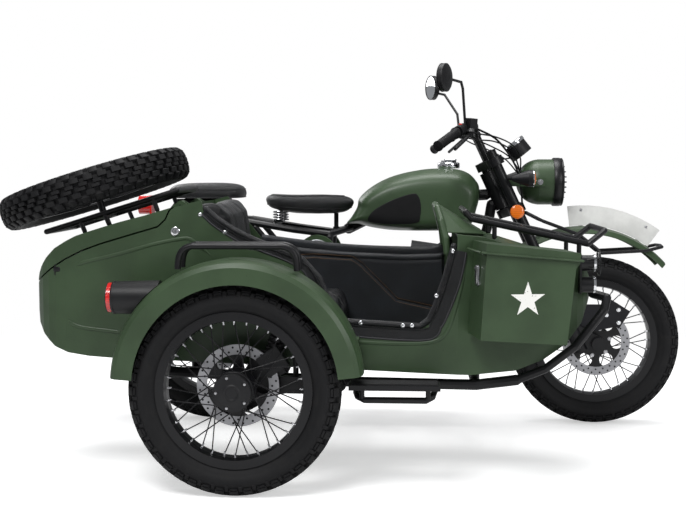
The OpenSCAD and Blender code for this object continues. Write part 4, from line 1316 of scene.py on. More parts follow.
@dataclass
class Saddles:
    """Rider's sprung saddle and the pillion pad."""

    def piping(self, name: str, loop: Any, radius: float) -> None:
        """A cord sewn round a seat: a smooth closed curve with a round section."""
        path = smooth(loop, 120, closed=True)
        put(name, tube(path, radius, 10, closed=True), HIDE, "chassis")

    def rider(self) -> None:
        """Crowned saddle with a skirt, its plan an egg: half width w(u) and height z(u, v) as cosines."""
        u = np.linspace(0, 2 * math.pi, 96, endpoint=False)[None]
        ring = [(0.0, 0.0), (0.30, 2.0), (0.62, 4.0), (0.84, 1.0), (0.95, -8.0), (1.0, -23.0), (0.985, -40.0),
                (0.93, -55.0), (0.80, -65.0), (0.4, -68.0), (0.0, -68.0)]
        s = smooth(ring, 42)
        reach, drop = s[:, :1], s[:, 1:]
        c, n = np.cos(u), np.sin(u)
        length = np.where(c > 0, 222.0, 128.0)
        nose = np.clip(c, 0, 1)
        x = 346 + reach * length * np.sign(c) * np.abs(c) ** 0.95 - 8
        half = 126.0 * (1 - 0.62 * nose ** 1.3)
        y = reach * half * np.sign(n) * np.abs(n) ** 0.9
        dish = -7.0 * np.exp(-(((x - 330) / 70.0) ** 2)) * (1 - np.clip(reach, 0, 1) ** 2)
        tail = 5.0 * np.clip((300 - x) / 90.0, 0, 1) ** 2
        front = np.clip((x - 430) / 130.0, 0, 1)
        deep = np.interp(x, [210, 250, 330, 420, 480, 520, 562], [50, 54, 61, 70, 70, 66, 58]) / 68.0
        z = 899.5 + np.where(drop < 0, drop * deep, drop) + dish + tail - 3 * front
        z = np.clip(z, 828.6, 905.4)
        shape = sheet_of(np.stack([x, y, z], -1)[::-1], wrap_v=True, caps=True)
        made = put("rider_saddle", shape, HIDE, "chassis")
        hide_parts("rider_seat")
        k = 30
        self.piping("rider_saddle_piping", np.stack([x[12], y[12], z[12] + 0.6], -1)[::4], 2.0)
        self.piping("rider_saddle_hem", np.stack([x[k - 3], y[k - 3], z[k - 3]], -1)[::4], 2.2)

    def springs(self) -> None:
        """Two coil springs with cups below the saddle and its front pivot post."""
        coils = [coil((268, s * 70, 801), (268, s * 70, 842), 21.0, 3.2, 4.0) for s in (-1, 1)]
        put("saddle_springs", joined(coils), STEEL, "chassis")
        post = revolve([(0, 0), (13, 0), (13, 6), (9, 10), (9, 80), (13, 86), (13, 92), (0, 92)], 32)
        post = post.at((490, 0, 768.5))
        cup = revolve([(0, 0), (24, 0), (25, 3), (8, 3.5), (8, 42), (0, 42)], 32)
        cups = [cup.at((268, s * 70, 798.6)) for s in (-1, 1)]
        put("saddle_mounts", joined([post] + cups), BLACK, "chassis")

    def pillion(self) -> None:
        """A loaf-shaped pad with a piped rim on a base: a superellipse plan with a crowned top."""
        u = np.linspace(0, 2 * math.pi, 96, endpoint=False)[None]
        s = smooth([(0.0, 60.5), (0.45, 60.0), (0.75, 56.0), (0.90, 48.0), (0.965, 38.0), (1.0, 22.0), (0.985, 8.0),
                    (0.95, 2.0), (0.5, 0.4), (0.0, 0.4)], 40)
        c, n = np.cos(u), np.sin(u)
        x = -25 + s[:, :1] * 150 * np.sign(c) * np.abs(c) ** 0.62
        y = s[:, :1] * 129 * np.sign(n) * np.abs(n) ** 0.62
        z = 889.8 + s[:, 1:] + 0.6 * np.cos(x / 40.0) * (s[:, 1:] > 50)
        shape = sheet_of(np.stack([x, y, z], -1)[::-1], wrap_v=True, caps=True)
        made = put("pillion_pad", shape, HIDE, "chassis")
        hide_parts("pillion_seat")
        k = int(np.argmin(np.abs(s[:, 1] - 36.0)))
        self.piping("pillion_piping", np.stack([x[k], y[k], z[k]], -1)[::4], 2.0)

    def build(self) -> None:
        """Makes both seats and their springs."""
        self.rider()
        self.springs()
        self.pillion()


# ---------------------------------------------------------------- the tub's fittings


@dataclass
class TubTrim:
    """Pressed beads, the trunk's lock and the lid's tail catch."""

    side_y: float = -960.0
    beads: tuple[tuple[tuple[float, float], ...], ...] = (
        ((-288, 695), (-261, 708), (-180, 727), (-104, 747), (-30, 768), (52, 784), (83, 784), (112, 764), (154, 728)),
        ((-317, 518), (-300, 505), (-265, 495), (-200, 487), (-140, 480)),
        ((470, 468), (560, 460), (720, 452), (840, 455), (890, 474), (917, 520), (940, 600), (962, 690)))

    def press(self) -> None:
        """Raised beads: flat oval rods laid along smooth paths on the panel."""
        rods = []
        for line in self.beads:
            p = smooth(line, 60)
            wall = self.side_y + np.maximum(0, p[:, 0] - NOSE_START) * math.tan(math.radians(NOSE_TAPER)) - 0.2
            path = np.stack([p[:, 0], wall, p[:, 1]], -1)
            fade = np.clip(np.minimum(np.arange(60), np.arange(60)[::-1]) / 5.0, 0.15, 1)
            rods.append(tube(path, 6.0 * fade, 12, flat=0.42))
        put("tub_beads", joined(rods), GREEN, "chassis")

    def lock(self) -> None:
        """A round chrome lock with a key slot on the tub, and a latch at the lid's tail; the key slot is a dark pill of
        painted shade.
        """
        body = revolve([(0, 3.2), (7.5, 3.2), (8.5, 4.6), (12.5, 4.2), (14.5, 2.6), (15, 0)], 48)
        put("trunk_lock", body.moved(basis((0, -1, 0)), (37, self.side_y, 808)), CHROME, "chassis")
        # The keyway is a solid dark pill on the lock's face: painted shade.
        slot = round_box((7.5, 1.6, 1.2), 6, 6).moved(basis((0, -1, 0)), (37, self.side_y - 3.6, 808))
        put("trunk_lock_slot", slot, HOLE_SHADE, "chassis")
        plate = slab([(-17, -9), (17, -9), (17, 9), (-17, 9)], 0, 2.4, 0.8).moved(basis((0, -1, 0)), (-352, -953, 682))
        keep = round_box((16, 24, 8), 5, 8).moved(basis((0, -1, 0)), (-352, -955, 684))
        put("tail_catch", plate + keep, BLACK, "chassis")

    def build(self) -> None:
        """Makes the fittings."""
        self.press()
        self.lock()


@dataclass
class SideBox:
    """The box on the nose: its lid's hem, its latch and a plain star."""

    origin: tuple[float, float] = (985.0, -968.07)
    turn: float = 10.0
    face: float = -170.0

    def local(self, shape: Shape) -> Shape:
        """From the box's own frame, with X along it and Y towards the tub, to its place.

        Args:
            shape: A mesh in the box's own frame.

        Returns:
            The mesh in its place.
        """
        a = math.radians(self.turn)
        spin = np.array([[math.cos(a), -math.sin(a), 0], [math.sin(a), math.cos(a), 0], [0, 0, 1]])
        return shape.moved(spin, (self.origin[0], self.origin[1], 0))

    def outward(self, shape: Shape, x: float, z: float, off: float = 0.0) -> Shape:
        """Stands a flat shape on the outer face at (x, z)."""
        frame_ = np.stack([[1.0, 0, 0], [0, 0, 1.0], [0, -1.0, 0]], 1)
        return self.local(shape.moved(frame_, (x, self.face - off, z)))

    def star(self) -> None:
        """A plain five-pointed star: radius 56 at the points and 21.4 between, every 36 degrees."""
        a = math.pi / 2 + np.arange(10) * math.pi / 5
        r = np.where(np.arange(10) % 2 == 0, 56.0, 21.4)
        flat_star = slab(np.stack([r * np.cos(a), r * np.sin(a)], -1), 0.0, 0.5, 0.1)
        put("box_star", self.outward(flat_star, 131.0, 612), STAR, "chassis", flat=True)

    def lid_lip(self) -> None:
        """A folded lip along the lid's outer edge with a wire in its hem."""
        x = np.linspace(-16, 300, 40)
        z = np.interp(x, [-16, 4, 300], [757, 755, 729])
        hem = tube(np.stack([x, np.full(40, -179.0), z], -1), 3.6, 12)
        ends = [tube(np.stack([np.full(20, xe), np.linspace(-178, 6, 20), np.full(20, ze)], -1), 3.6, 12)
                for xe, ze in ((-16.5, 757), (300, 729))]
        put("box_lid_hem", self.local(joined([hem] + ends)), GREEN, "box_lid")

    def latch(self) -> None:
        """An over-centre latch on the rear end: plate, lever and hinge rod."""
        end_frame = np.stack([[0, 1.0, 0], [0, 0, 1.0], [1.0, 0, 0]], 1) * np.array([[1, 1, -1]])
        plate = slab(smooth([(-15, -40), (15, -40), (17, 0), (15, 20), (-15, 20), (-17, 0)], 36, True), 0, 2.6, 0.7)
        lever = slab(smooth([(-10, -34), (10, -34), (12, 16), (-12, 16)], 32, True), 2.6, 8.0, 1.6)
        hinge = tube([(-16, 12, 6), (0, 12, 6), (16, 12, 6)], 4.2, 12)
        shape = joined([plate, lever, hinge]).moved(end_frame, (-3.0, -85, 690))
        put("box_latch", self.local(shape), STEEL, "chassis")

    def build(self) -> None:
        """Makes the box's fittings."""
        self.star()
        self.lid_lip()
        self.latch()


@dataclass
class NoseGear:
    """Lenses and rims of the two nose lamps, and the upper one's wire guard."""

    front_x: float = 1373.0
    y: float = -912.0
    heights: tuple[float, float] = (640.0, 709.0)

    def build(self) -> None:
        """Makes the lamps' faces and the guard."""
        rim = revolve([(25.6, -6), (27, -5), (27, 1.5), (25, 3), (22.5, 2.5), (22, 0)], 48)
        lens = revolve([(0, 4.6), (8, 4.2), (16, 3.0), (22.6, 0.5), (22.6, -1)], 48)
        for name, z in zip(("lower", "upper"), self.heights):
            turn, place = basis((1, 0, 0)), (self.front_x, self.y, z)
            put(f"nose_lamp_rim_{name}", rim.moved(turn, place), CHROME, "chassis")
            put(f"nose_lamp_lens_{name}", lens.moved(turn, place), CLEAR_LENS, "chassis")
        x, y, z = self.front_x + 12, self.y, self.heights[1]
        loop = smooth([(y - 31, z - 31), (y + 31, z - 31), (y + 31, z + 31), (y - 31, z + 31)], 64, True)
        ring = tube(np.stack([np.full(64, x), loop[:, 0], loop[:, 1]], -1), 2.2, 8, True)
        wires = bars([(x, y - 32, z + d) for d in (-12, 12)] + [(x, y + d, z - 32) for d in (-12, 12)],
                     [(x, y + 32, z + d) for d in (-12, 12)] + [(x, y + d, z + 32) for d in (-12, 12)], 1.6)
        arms = bars([(x, y + s * 32, z + t * 20) for s in (-1, 1) for t in (-1, 1)],
                    [(x - 40, y + s * 24, z + t * 12) for s in (-1, 1) for t in (-1, 1)], 1.8)
        put("nose_lamp_guard", joined([ring, wires, arms]), BLACK, "chassis")


@dataclass
class RunningGear:
    """Ribbed footboard, damper springs, the sidecar's lamp and its fender's hand rail."""

    def footboard(self) -> None:
        """A moulded rubber tread: lengthwise ribs on a mat."""
        mat = slab([(604, -1108), (878, -1108), (878, -1032), (604, -1032)], 343.8, 346.2, 0.8)
        rib = slab([(608, -2.2), (874, -2.2), (874, 2.2), (608, 2.2)], 0, 3.2, 0.9)
        shifts = np.stack([np.zeros(9), np.linspace(-1103, -1037, 9), np.full(9, 345.8)], -1)
        put("footboard_mat", mat + rib.copies(upright(9), shifts), GRIP, "chassis")

    def springs(self) -> None:
        """Coils round the three dampers."""
        coils = [coil((52, s * 145, 446), (113, s * 145, 702), 30.0, 4.6, 9.5) for s in (-1, 1)]
        coils.append(coil((353.5, -1008, 424), (395, -1008, 547), 25.5, 3.8, 7.5))
        put("damper_springs", joined(coils), BLACK, "chassis")

    def lamp(self) -> None:
        """The sidecar's red lamp: a domed lens with a black rim, facing back."""
        lens = revolve([(0, 4.5), (16, 4.2), (32, 3.0), (42, 1.0), (46.4, -3), (46.6, -22)], 64)
        rim = revolve([(46, -24), (51, -24), (51.5, -20), (49.5, -16), (46.7, -15.5)], 64, closed=True)
        turn, place = basis((-1, 0, 0)), (-142, -TRACK, 612)
        put("sidecar_lamp_lens", lens.moved(turn, place), RED_LENS, "chassis")
        put("sidecar_lamp_rim", rim.moved(turn, place), PLASTIC, "chassis")

    def rail(self) -> None:
        """The fender's double hand rail with bent corners: a round tube along a smooth line on each side."""
        line = smooth([(82, 703.4), (83, 722), (88, 746), (101, 764), (124, 773.5), (156, 774), (366, 774),
                       (402, 773.5), (426, 764), (440, 746), (445, 722), (446, 699.6)], 96)
        rods = [tube(np.stack([line[:, 0], np.full(96, y), line[:, 1]], -1), 10.0, 20) for y in (-1150.0, -1080.0)]
        made = put("fender_rail_tubes", joined(rods), BLACK, "chassis")
        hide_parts("fender_rail")

    def build(self) -> None:
        """Makes the pieces."""
        self.footboard()
        self.springs()
        self.lamp()
        self.rail()


# ---------------------------------------------------------------- the motorcycle's fittings


@dataclass
class EngineDress:
    """Fins, covers and a carburettor round the plain engine block."""

    foot: tuple[float, float, float] = (840.0, 0.0, 455.0)
    lean: float = 8.0
    fins: int = 14

    def barrel(self) -> None:
        """Square-cornered fins up the barrel, and a rocker cover on top."""
        a = math.radians(self.lean)
        axis = np.array([math.sin(a), 0, math.cos(a)])
        turn = basis(axis, (1, 0, 0))
        corner = np.array([(78, 60), (60, 78), (-60, 78), (-78, 60), (-78, -60), (-60, -78), (60, -78), (78, -60)])
        fin = slab(smooth(corner, 48, True), 0, 3.0, 0.7)
        h = 26 + np.arange(self.fins) * 13.5
        stack = fin.copies(np.repeat(turn[None], self.fins, 0), np.asarray(self.foot) + h[:, None] * axis)
        head = slab(smooth(corner * 0.78, 48, True), 0, 24, 6.0).moved(turn, np.asarray(self.foot) + 216 * axis)
        put("cylinder_fins", stack, CAST, "chassis")
        put("rocker_cover", head, DARK_CAST, "chassis")

    def covers(self) -> None:
        """Domed round covers with bolts on both sides of the crankcase."""
        for name, x, z, y, r in (("clutch", 620, 355, 150, 84), ("generator", 850, 360, 140, 80)):
            face = revolve([(0, 9), (r * 0.35, 8.6), (r * 0.42, 6.2), (r * 0.8, 5.2), (r * 0.92, 2.5),
                            (r, -1), (r, -6)], 72)
            a = np.arange(8) * math.pi / 4 + 0.2
            for s in (-1, 1):
                hand = "right" if s < 0 else "left"
                cover = face.moved(basis((0, s, 0)), (x, s * y, z))
                put(f"{name}_cover_{hand}", cover, CAST, "chassis")
                spots = np.stack([x + r * 0.88 * np.cos(a), np.full(8, s * (y + 3.0)), z + r * 0.88 * np.sin(a)], -1)
                put(f"{name}_bolts_{hand}", bolt_heads(spots, (0, s, 0), 8, 4), STEEL, "chassis")

    def carburettor(self) -> None:
        """Intake bell, float bowl and rubber boot behind the cylinder."""
        boot = tube([(790, -20, 606), (760, -20, 604), (735, -20, 602)], [24, 22, 22], 32)
        body = round_box((52, 58, 74), 5, 14).at((708, -20, 600))
        bowl = revolve([(0, -34), (18, -34), (22, -28), (22, 0)], 32).at((708, -20, 566))
        bell = revolve([(27, 0), (24, 8), (24, 40), (26, 60), (30, 66), (0, 66)], 40)
        bell = bell.moved(basis((-1, 0, 0)), (690, -20, 602))
        put("carburettor", body + bowl, ALLOY, "chassis")
        put("intake_boot", boot + bell, GRIP, "chassis")

    def build(self) -> None:
        """Makes the engine's fittings."""
        self.barrel()
        self.covers()
        self.carburettor()


@dataclass
class TankTrim:
    """The tank's shell, knee pads, foot rim and cap lever."""

    pad: tuple[tuple[float, float], ...] = (
        (622, 806), (640, 842), (690, 874), (745, 898), (800, 912), (818, 898), (826, 866), (824, 828), (812, 800),
        (740, 794), (670, 796))

    def skin(self) -> bpy.types.Object:
        """The tank's pressed shell: its side outline scaled about its middle, falling to 0 at half width 142.

        Returns:
            The shell, for the knee pads to lie on.
        """
        side = np.array([
            (535, 790), (553, 817), (575, 855), (582, 887), (604, 913), (636, 938), (674, 960), (712, 976), (756, 989),
            (794, 997), (845, 1005), (896, 1008), (940, 1008), (985, 1001), (1017, 986), (1041, 962), (1055, 935),
            (1054, 890), (1045, 850), (1022, 786), (960, 766), (745, 764), (640, 775), (581, 790)], float)
        edge = smooth(side, 144, True)
        half = smooth([(0, 1.0, 1.0), (40, 0.999, 0.998), (74, 0.985, 0.955), (102, 0.955, 0.885), (122, 0.915, 0.80),
                       (134, 0.865, 0.69), (139.5, 0.80, 0.56), (141.6, 0.66, 0.40), (142, 0.35, 0.2),
                       (142, 0.0, 0.0)], 48)
        rows = np.concatenate([half[::-1] * (-1, 1, 1), half[1:]])
        scale = rows[:, None, 1:]
        middle = np.array([800.0, 852.0])
        flat_side = middle + (edge[None] - middle) * scale
        points = np.stack([flat_side[..., 0], np.repeat(rows[:, :1], 144, 1), flat_side[..., 1]], -1)
        made = put("tank_shell", sheet_of(points, wrap_v=True, caps=True), GREEN, "chassis")
        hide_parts("fuel_tank")
        made.data.polygons.foreach_set("use_smooth", np.ones(len(made.data.polygons), bool))
        return made

    def knee_pads(self, shell: bpy.types.Object) -> None:
        """A rubber pad on each side: rings shrunk towards the outline's middle, pressed on to the tank.

        Args:
            shell: The tank's shell.
        """
        edge = smooth(self.pad, 72, True)
        middle = edge.mean(0)
        k = np.linspace(1.0, 0.02, 14)[:, None, None]
        flat_pad = middle + (edge - middle)[None] * k
        for s, name in ((-1, "right"), (1, "left")):
            points = np.stack([flat_pad[..., 0], np.full(flat_pad.shape[:2], s * 190.0), flat_pad[..., 1]], -1)
            shape = sheet_of(points if s > 0 else points[::-1], wrap_v=True)
            shape = Shape(shape.verts, shape.quads, (np.arange(72) + (13 * 72 if s > 0 else 0),))
            made = put(f"knee_pad_{name}", shape, GRIP, "chassis")
            cling(made, shell, (s < 0, s > 0), 0.0014, 0.0045)
            self.border(f"knee_pad_rim_{name}", shape.verts[:72], shell, s)

    def border(self, name: str, line: Array, shell: bpy.types.Object, s: int) -> None:
        """A raised bead round a knee pad: a ribbon between two outlines, pressed on to the tank.

        Args:
            name: The bead's name.
            line: The pad's outline.
            shell: The tank's shell.
            s: -1 on the right, 1 on the left.
        """
        middle = line.mean(0)
        ring = np.stack([middle + (line - middle) * k for k in (1.03, 0.975)])
        ribbon = sheet_of(ring if s > 0 else ring[::-1], wrap_v=True)
        made = put(name, ribbon, PLASTIC, "chassis")
        cling(made, shell, (s < 0, s > 0), 0.0022, 0.0075)

    def flange(self) -> None:
        """The welded rim along the tank's foot: a flat rod round its lower outline on both sides."""
        low = smooth([(556, 792), (600, 782), (660, 774), (745, 766), (860, 766), (960, 768), (1010, 780)], 80)
        rods = []
        for s in (-1, 1):
            y = s * np.interp(low[:, 0], [556, 620, 740, 900, 1010], [50, 92, 116, 112, 60])
            rods.append(tube(np.stack([low[:, 0], y, low[:, 1] + 16], -1), 4.5, 10, flat=0.6))
        put("tank_flange", joined(rods), GREEN, "chassis")

    def cap(self) -> None:
        """A flip lever and a turned rim on the filler cap."""
        rim = revolve([(42.2, 1), (43.6, 3), (43.6, 19), (42.2, 21.5), (38, 23.5)], 72)
        lever = slab(smooth([(-8, -6), (26, -9), (36, -4), (36, 4), (26, 9), (-8, 6)], 36, True), 0, 5, 1.2)
        put("cap_rim", rim.at((936, 0, 1008.4)), CHROME, "chassis")
        put("cap_lever", lever.at((930, 0, 1039.6)), CHROME, "chassis")

    def build(self) -> None:
        """Makes the shell and its trim."""
        shell = self.skin()
        self.knee_pads(shell)
        self.flange()
        self.cap()


@dataclass
class SideCoverTrim:
    """Pierced silver discs on the round side covers."""

    centre: tuple[float, float] = (425.0, 674.0)

    def build(self) -> None:
        """A dished disc and its ring of holes."""
        dish = revolve([(0, 3.4), (20, 3.6), (44, 2.6), (54, 1.0), (58, 2.0), (60, 1.2), (60.5, 0)], 96)
        k = np.arange(5)
        a = np.concatenate([np.arange(n) * 2 * math.pi / n for n in (6, 12, 18, 24, 30)])
        r = np.repeat(8.5 + 8.7 * k, (6, 12, 18, 24, 30))
        # The piercings are solid near-black discs: painted shade, not open holes.
        hole = revolve([(0, 1.0), (2.6, 1.0), (2.6, -1)], 8)
        places = np.stack([r * np.cos(a), r * np.sin(a), 3.0 - (r / 60) ** 2 * 1.6], -1)
        holes = hole.copies(upright(len(a)), places)
        for s, name in ((-1, "right"), (1, "left")):
            place = (self.centre[0], s * 170.0, self.centre[1])
            put(f"cover_disc_{name}", dish.moved(basis((0, s, 0)), place), ALLOY, "chassis")
            put(f"cover_holes_{name}", holes.moved(basis((0, s, 0)), place), HOLE_SHADE, "chassis")


class Side(Enum):
    """Right or left of the bike, as the sign of y."""

    RIGHT = -1
    LEFT = 1


@dataclass
class BarEnd:
    """Grip and mirror glass of one side."""

    side: Side

    def grip(self) -> None:
        """A ribbed sleeve: radius 17.6 + 0.9 |sin| along the grip, with a flange at its root."""
        s = self.side.value
        a, b = np.array([953.0, s * 266.7, 1139.3]), np.array([885.0, s * 385.0, 1089.0])
        h = np.linspace(0, 1, 90)
        length = float(np.linalg.norm(b - a))
        r = (17.5 + 0.9 * np.abs(np.sin(h * 14 * math.pi)) + 5.0 * np.exp(-((h / 0.03) ** 2))
             + 2.6 * np.exp(-(((1 - h) / 0.03) ** 2)))
        profile = np.concatenate([[[0, -0.2]], np.stack([r, h * length], -1), [[12, length + 2.5], [0, length + 3]]])
        sleeve = revolve(profile, 40).moved(basis(b - a), a)
        put(f"grip_{self.side.name.lower()}", sleeve, GRIP, "steering")

    def glass(self) -> None:
        """Mirror glass with a thin rim, on the face that looks back."""
        i = 0 if self.side is Side.RIGHT else 1
        head = np.array([(906.0, -385.0, 1336.0), (876.0, 400.0, 1352.0)][i])
        yaw = math.radians((-24.0, 24.0)[i])
        axis = -np.array([math.cos(yaw), math.sin(yaw), 0.0])
        pane = revolve([(0, 1.0), (40, 0.6), (47.5, 0.0), (47.5, -1)], 64).moved(basis(axis), head + axis * 8)
        rim = revolve([(47.5, -2), (51.8, -2), (51.8, 1.0), (50, 2.4), (47.8, 1.6)], 64, closed=True)
        rim = rim.moved(basis(axis), head + axis * 8)
        cup = revolve([(51.6, -1), (51.2, 2), (44, 7), (30, 10.5), (14, 12), (0, 12.4)], 64)
        cup = cup.moved(basis(-axis), head - axis * 8)
        low = self.side.name.lower()
        put(f"mirror_glass_{low}", pane, MIRROR, "steering")
        put(f"mirror_rim_{low}", rim + cup, PLASTIC, "steering")

    def build(self) -> None:
        """Makes the fittings of this side."""
        self.grip()
        self.glass()


@dataclass
class ForkGear:
    """Headlamp face, dial, indicators, cables and switches."""

    lamp: tuple[float, float, float] = (1367.0, 0.0, 955.0)
    dial: tuple[float, float, float] = (1191.0, 0.0, 1107.0)
    tilt: float = 39.0

    def headlamp(self) -> None:
        """Bezel, fluted lens, reflector bowl and a grille of bars."""
        turn = basis((1, 0, 0))
        bezel = revolve([(93.2, -24), (95.2, -20), (95.2, 2), (92, 7), (86, 8.5), (82, 6), (82, -2)], 96)
        bowl = revolve([(82, 0.5), (60, -0.5), (30, -0.8), (0, -0.9)], 96)
        lens = revolve([(0, 15), (30, 13.6), (55, 10), (74, 4.5), (82.5, 1.5), (82.5, -0.5)], 96)
        put("headlamp_bezel", bezel.moved(turn, self.lamp), BLACK, "steering")
        put("headlamp_bowl", bowl.moved(turn, self.lamp), CHROME, "steering")
        put("headlamp_lens", lens.moved(turn, self.lamp), CLEAR_LENS, "steering")
        d = np.linspace(-60, 60, 7)
        w = np.sqrt(90.0**2 - d**2)
        x = self.lamp[0] + 10
        rods = []
        for off, half in zip(d, w):
            t = np.linspace(-1, 1, 15)
            bow = x + 20 * (1 - t**2) * (1 - (off / 90) ** 2)
            rods.append(tube(np.stack([bow, t * half, np.full(15, self.lamp[2] + off)], -1), 2.4, 8))
        ring = revolve([(88, 7), (94, 7), (94, 12), (91, 14), (88, 12)], 96, closed=True).moved(turn, self.lamp)
        put("headlamp_grille", joined(rods + [ring]), BLACK, "steering")

    def strap(self) -> None:
        """Bolts that hold the lamp's ears."""
        heads = [bolt_heads([(1287, s * 93.6, 956)], (0, s, 0), 15, 7) for s in (-1, 1)]
        put("headlamp_bolts", joined(heads), STEEL, "steering")

    def gauge(self) -> None:
        """Dial with a scale of plain ticks, a needle and a bezel."""
        a = math.radians(self.tilt)
        turn = basis((-math.sin(a), 0, math.cos(a)), (math.cos(a), 0, math.sin(a)))
        face = revolve([(0, 0.6), (38, 0.6), (38, 0)], 64)
        bezel = revolve([(38, 0), (39, 4), (42, 5), (44, 3), (44.2, -8), (42.1, -9)], 64)
        t = np.radians(np.linspace(-130, 130, 27))
        tick = round_box((6.0, 1.1, 0.5), 6, 4)
        frames = np.stack([np.stack([np.cos(t), np.sin(t), 0 * t], -1), np.stack([-np.sin(t), np.cos(t), 0 * t], -1),
                           np.stack([0 * t, 0 * t, 1 + 0 * t], -1)], 2)
        ticks = tick.copies(frames, np.stack([33 * np.cos(t), 33 * np.sin(t), 0.9 + 0 * t], -1))
        needle = round_box((30, 1.8, 0.8), 3, 6).moved(basis((0, 0, 1), (-0.7, -0.7, 0)), (-8, -8, 1.6))
        for name, shape, finish in (("dial_face", face, DIAL), ("dial_bezel", bezel, CHROME),
                                    ("dial_ticks", ticks, MARK), ("dial_needle", needle, RED_SWITCH)):
            put(name, shape.moved(turn, self.dial), finish, "steering")

    def indicators(self) -> None:
        """Lenses of the front indicators, and round amber reflectors on the fork."""
        lens = revolve([(0, 10), (12, 9), (22, 6), (29, 1.5), (30.5, -1)], 48)
        rim = revolve([(30, -3), (32.6, -3), (32.8, 0.5), (31, 1.8), (29.8, 1)], 48, closed=True)
        disc = revolve([(0, 4.5), (16, 4), (23, 2.5), (26, 1.5), (27, 0), (27, -5), (0, -5)], 48)
        for s, name in ((-1, "right"), (1, "left")):
            turn, place = basis((1, 0, 0)), (1254, s * 162, 970)
            put(f"indicator_lens_{name}", lens.moved(turn, place), AMBER_LENS, "steering")
            put(f"indicator_rim_{name}", rim.moved(turn, place), CHROME, "steering")
            reflector = disc.moved(basis((0, s, 0)), (1196, s * 136, 842))
            put(f"fork_reflector_{name}", reflector, AMBER_LENS, "steering")

    def cable(self, name: str, points: Any, diameter: float) -> None:
        """A free cable that leaves one fitting and goes into another.

        Args:
            name: The cable's name.
            points: Points that it passes, in millimetres.
            diameter: Its diameter in millimetres.
        """
        path = smooth(points, 36)
        made = put(name, tube(path, diameter / 2, 8), GRIP, "steering")

    def cables(self) -> None:
        """Throttle, switch and brake lines from the bars down to the headlamp's back."""
        self.cable("brake_hose", [(1016, -218, 1163), (1052, -196, 1150), (1110, -160, 1120), (1162, -132, 1062),
                                  (1196, -112, 1000), (1214, -84, 930), (1221, -60, 870)], 8.0)
        self.cable("throttle_cable", [(986, -240, 1150), (1040, -232, 1138), (1110, -190, 1126), (1180, -110, 1096),
                                      (1212, -56, 1050), (1215, -30, 1000)], 6.0)
        self.cable("switch_lead_right", [(980, -226, 1146), (1030, -196, 1118), (1094, -150, 1092), (1160, -96, 1058),
                                         (1206, -50, 1006), (1222, -30, 980)], 5.5)
        self.cable("clutch_cable", [(1012, 232, 1136), (1060, 226, 1126), (1128, 176, 1118), (1188, 96, 1082),
                                    (1214, 52, 1020), (1216, 30, 984)], 6.5)
        self.cable("switch_lead_left", [(980, 228, 1146), (1034, 194, 1112), (1100, 146, 1084), (1164, 84, 1046),
                                        (1206, 44, 996), (1222, 20, 972)], 5.5)

    def switches(self) -> None:
        """A red button on each pod."""
        for s, name in ((1, "left"), (-1, "right")):
            button = revolve([(0, 7), (5.5, 6.4), (6.5, 4), (6.5, 0)], 24)
            button = button.moved(basis((0.15, 0, 1)), (972, s * 236, 1170))
            put(f"switch_button_{name}", button, RED_SWITCH, "steering")

    def build(self) -> None:
        """Makes everything round the bars and lamp."""
        self.headlamp()
        self.strap()
        self.gauge()
        self.indicators()
        self.switches()


@dataclass
class FrontTrim:
    """Caliper bolts and plate bolts."""

    def build(self) -> None:
        """Makes the bolts of the front end."""
        a = math.radians(58)
        cos, sin = math.cos(a), math.sin(a)
        spots = [(WHEELBASE + (92 + d) * cos - t * sin, -89.0, AXLE_Z + (92 + d) * sin + t * cos)
                 for d, t in ((20, -28), (20, 28), (62, 0))]
        put("caliper_bolts", bolt_heads(spots, (0, -1, 0), 11, 6), CHROME, "steering")
        plate = [(1465 + 492 * math.cos(b), -1.5, 353 + 492 * math.sin(b)) for b in map(math.radians, (60, 91))]
        put("plate_bolts", bolt_heads(plate, (0, -1, 0), 8, 3), STEEL, "steering")


# ---------------------------------------------------------------- studio


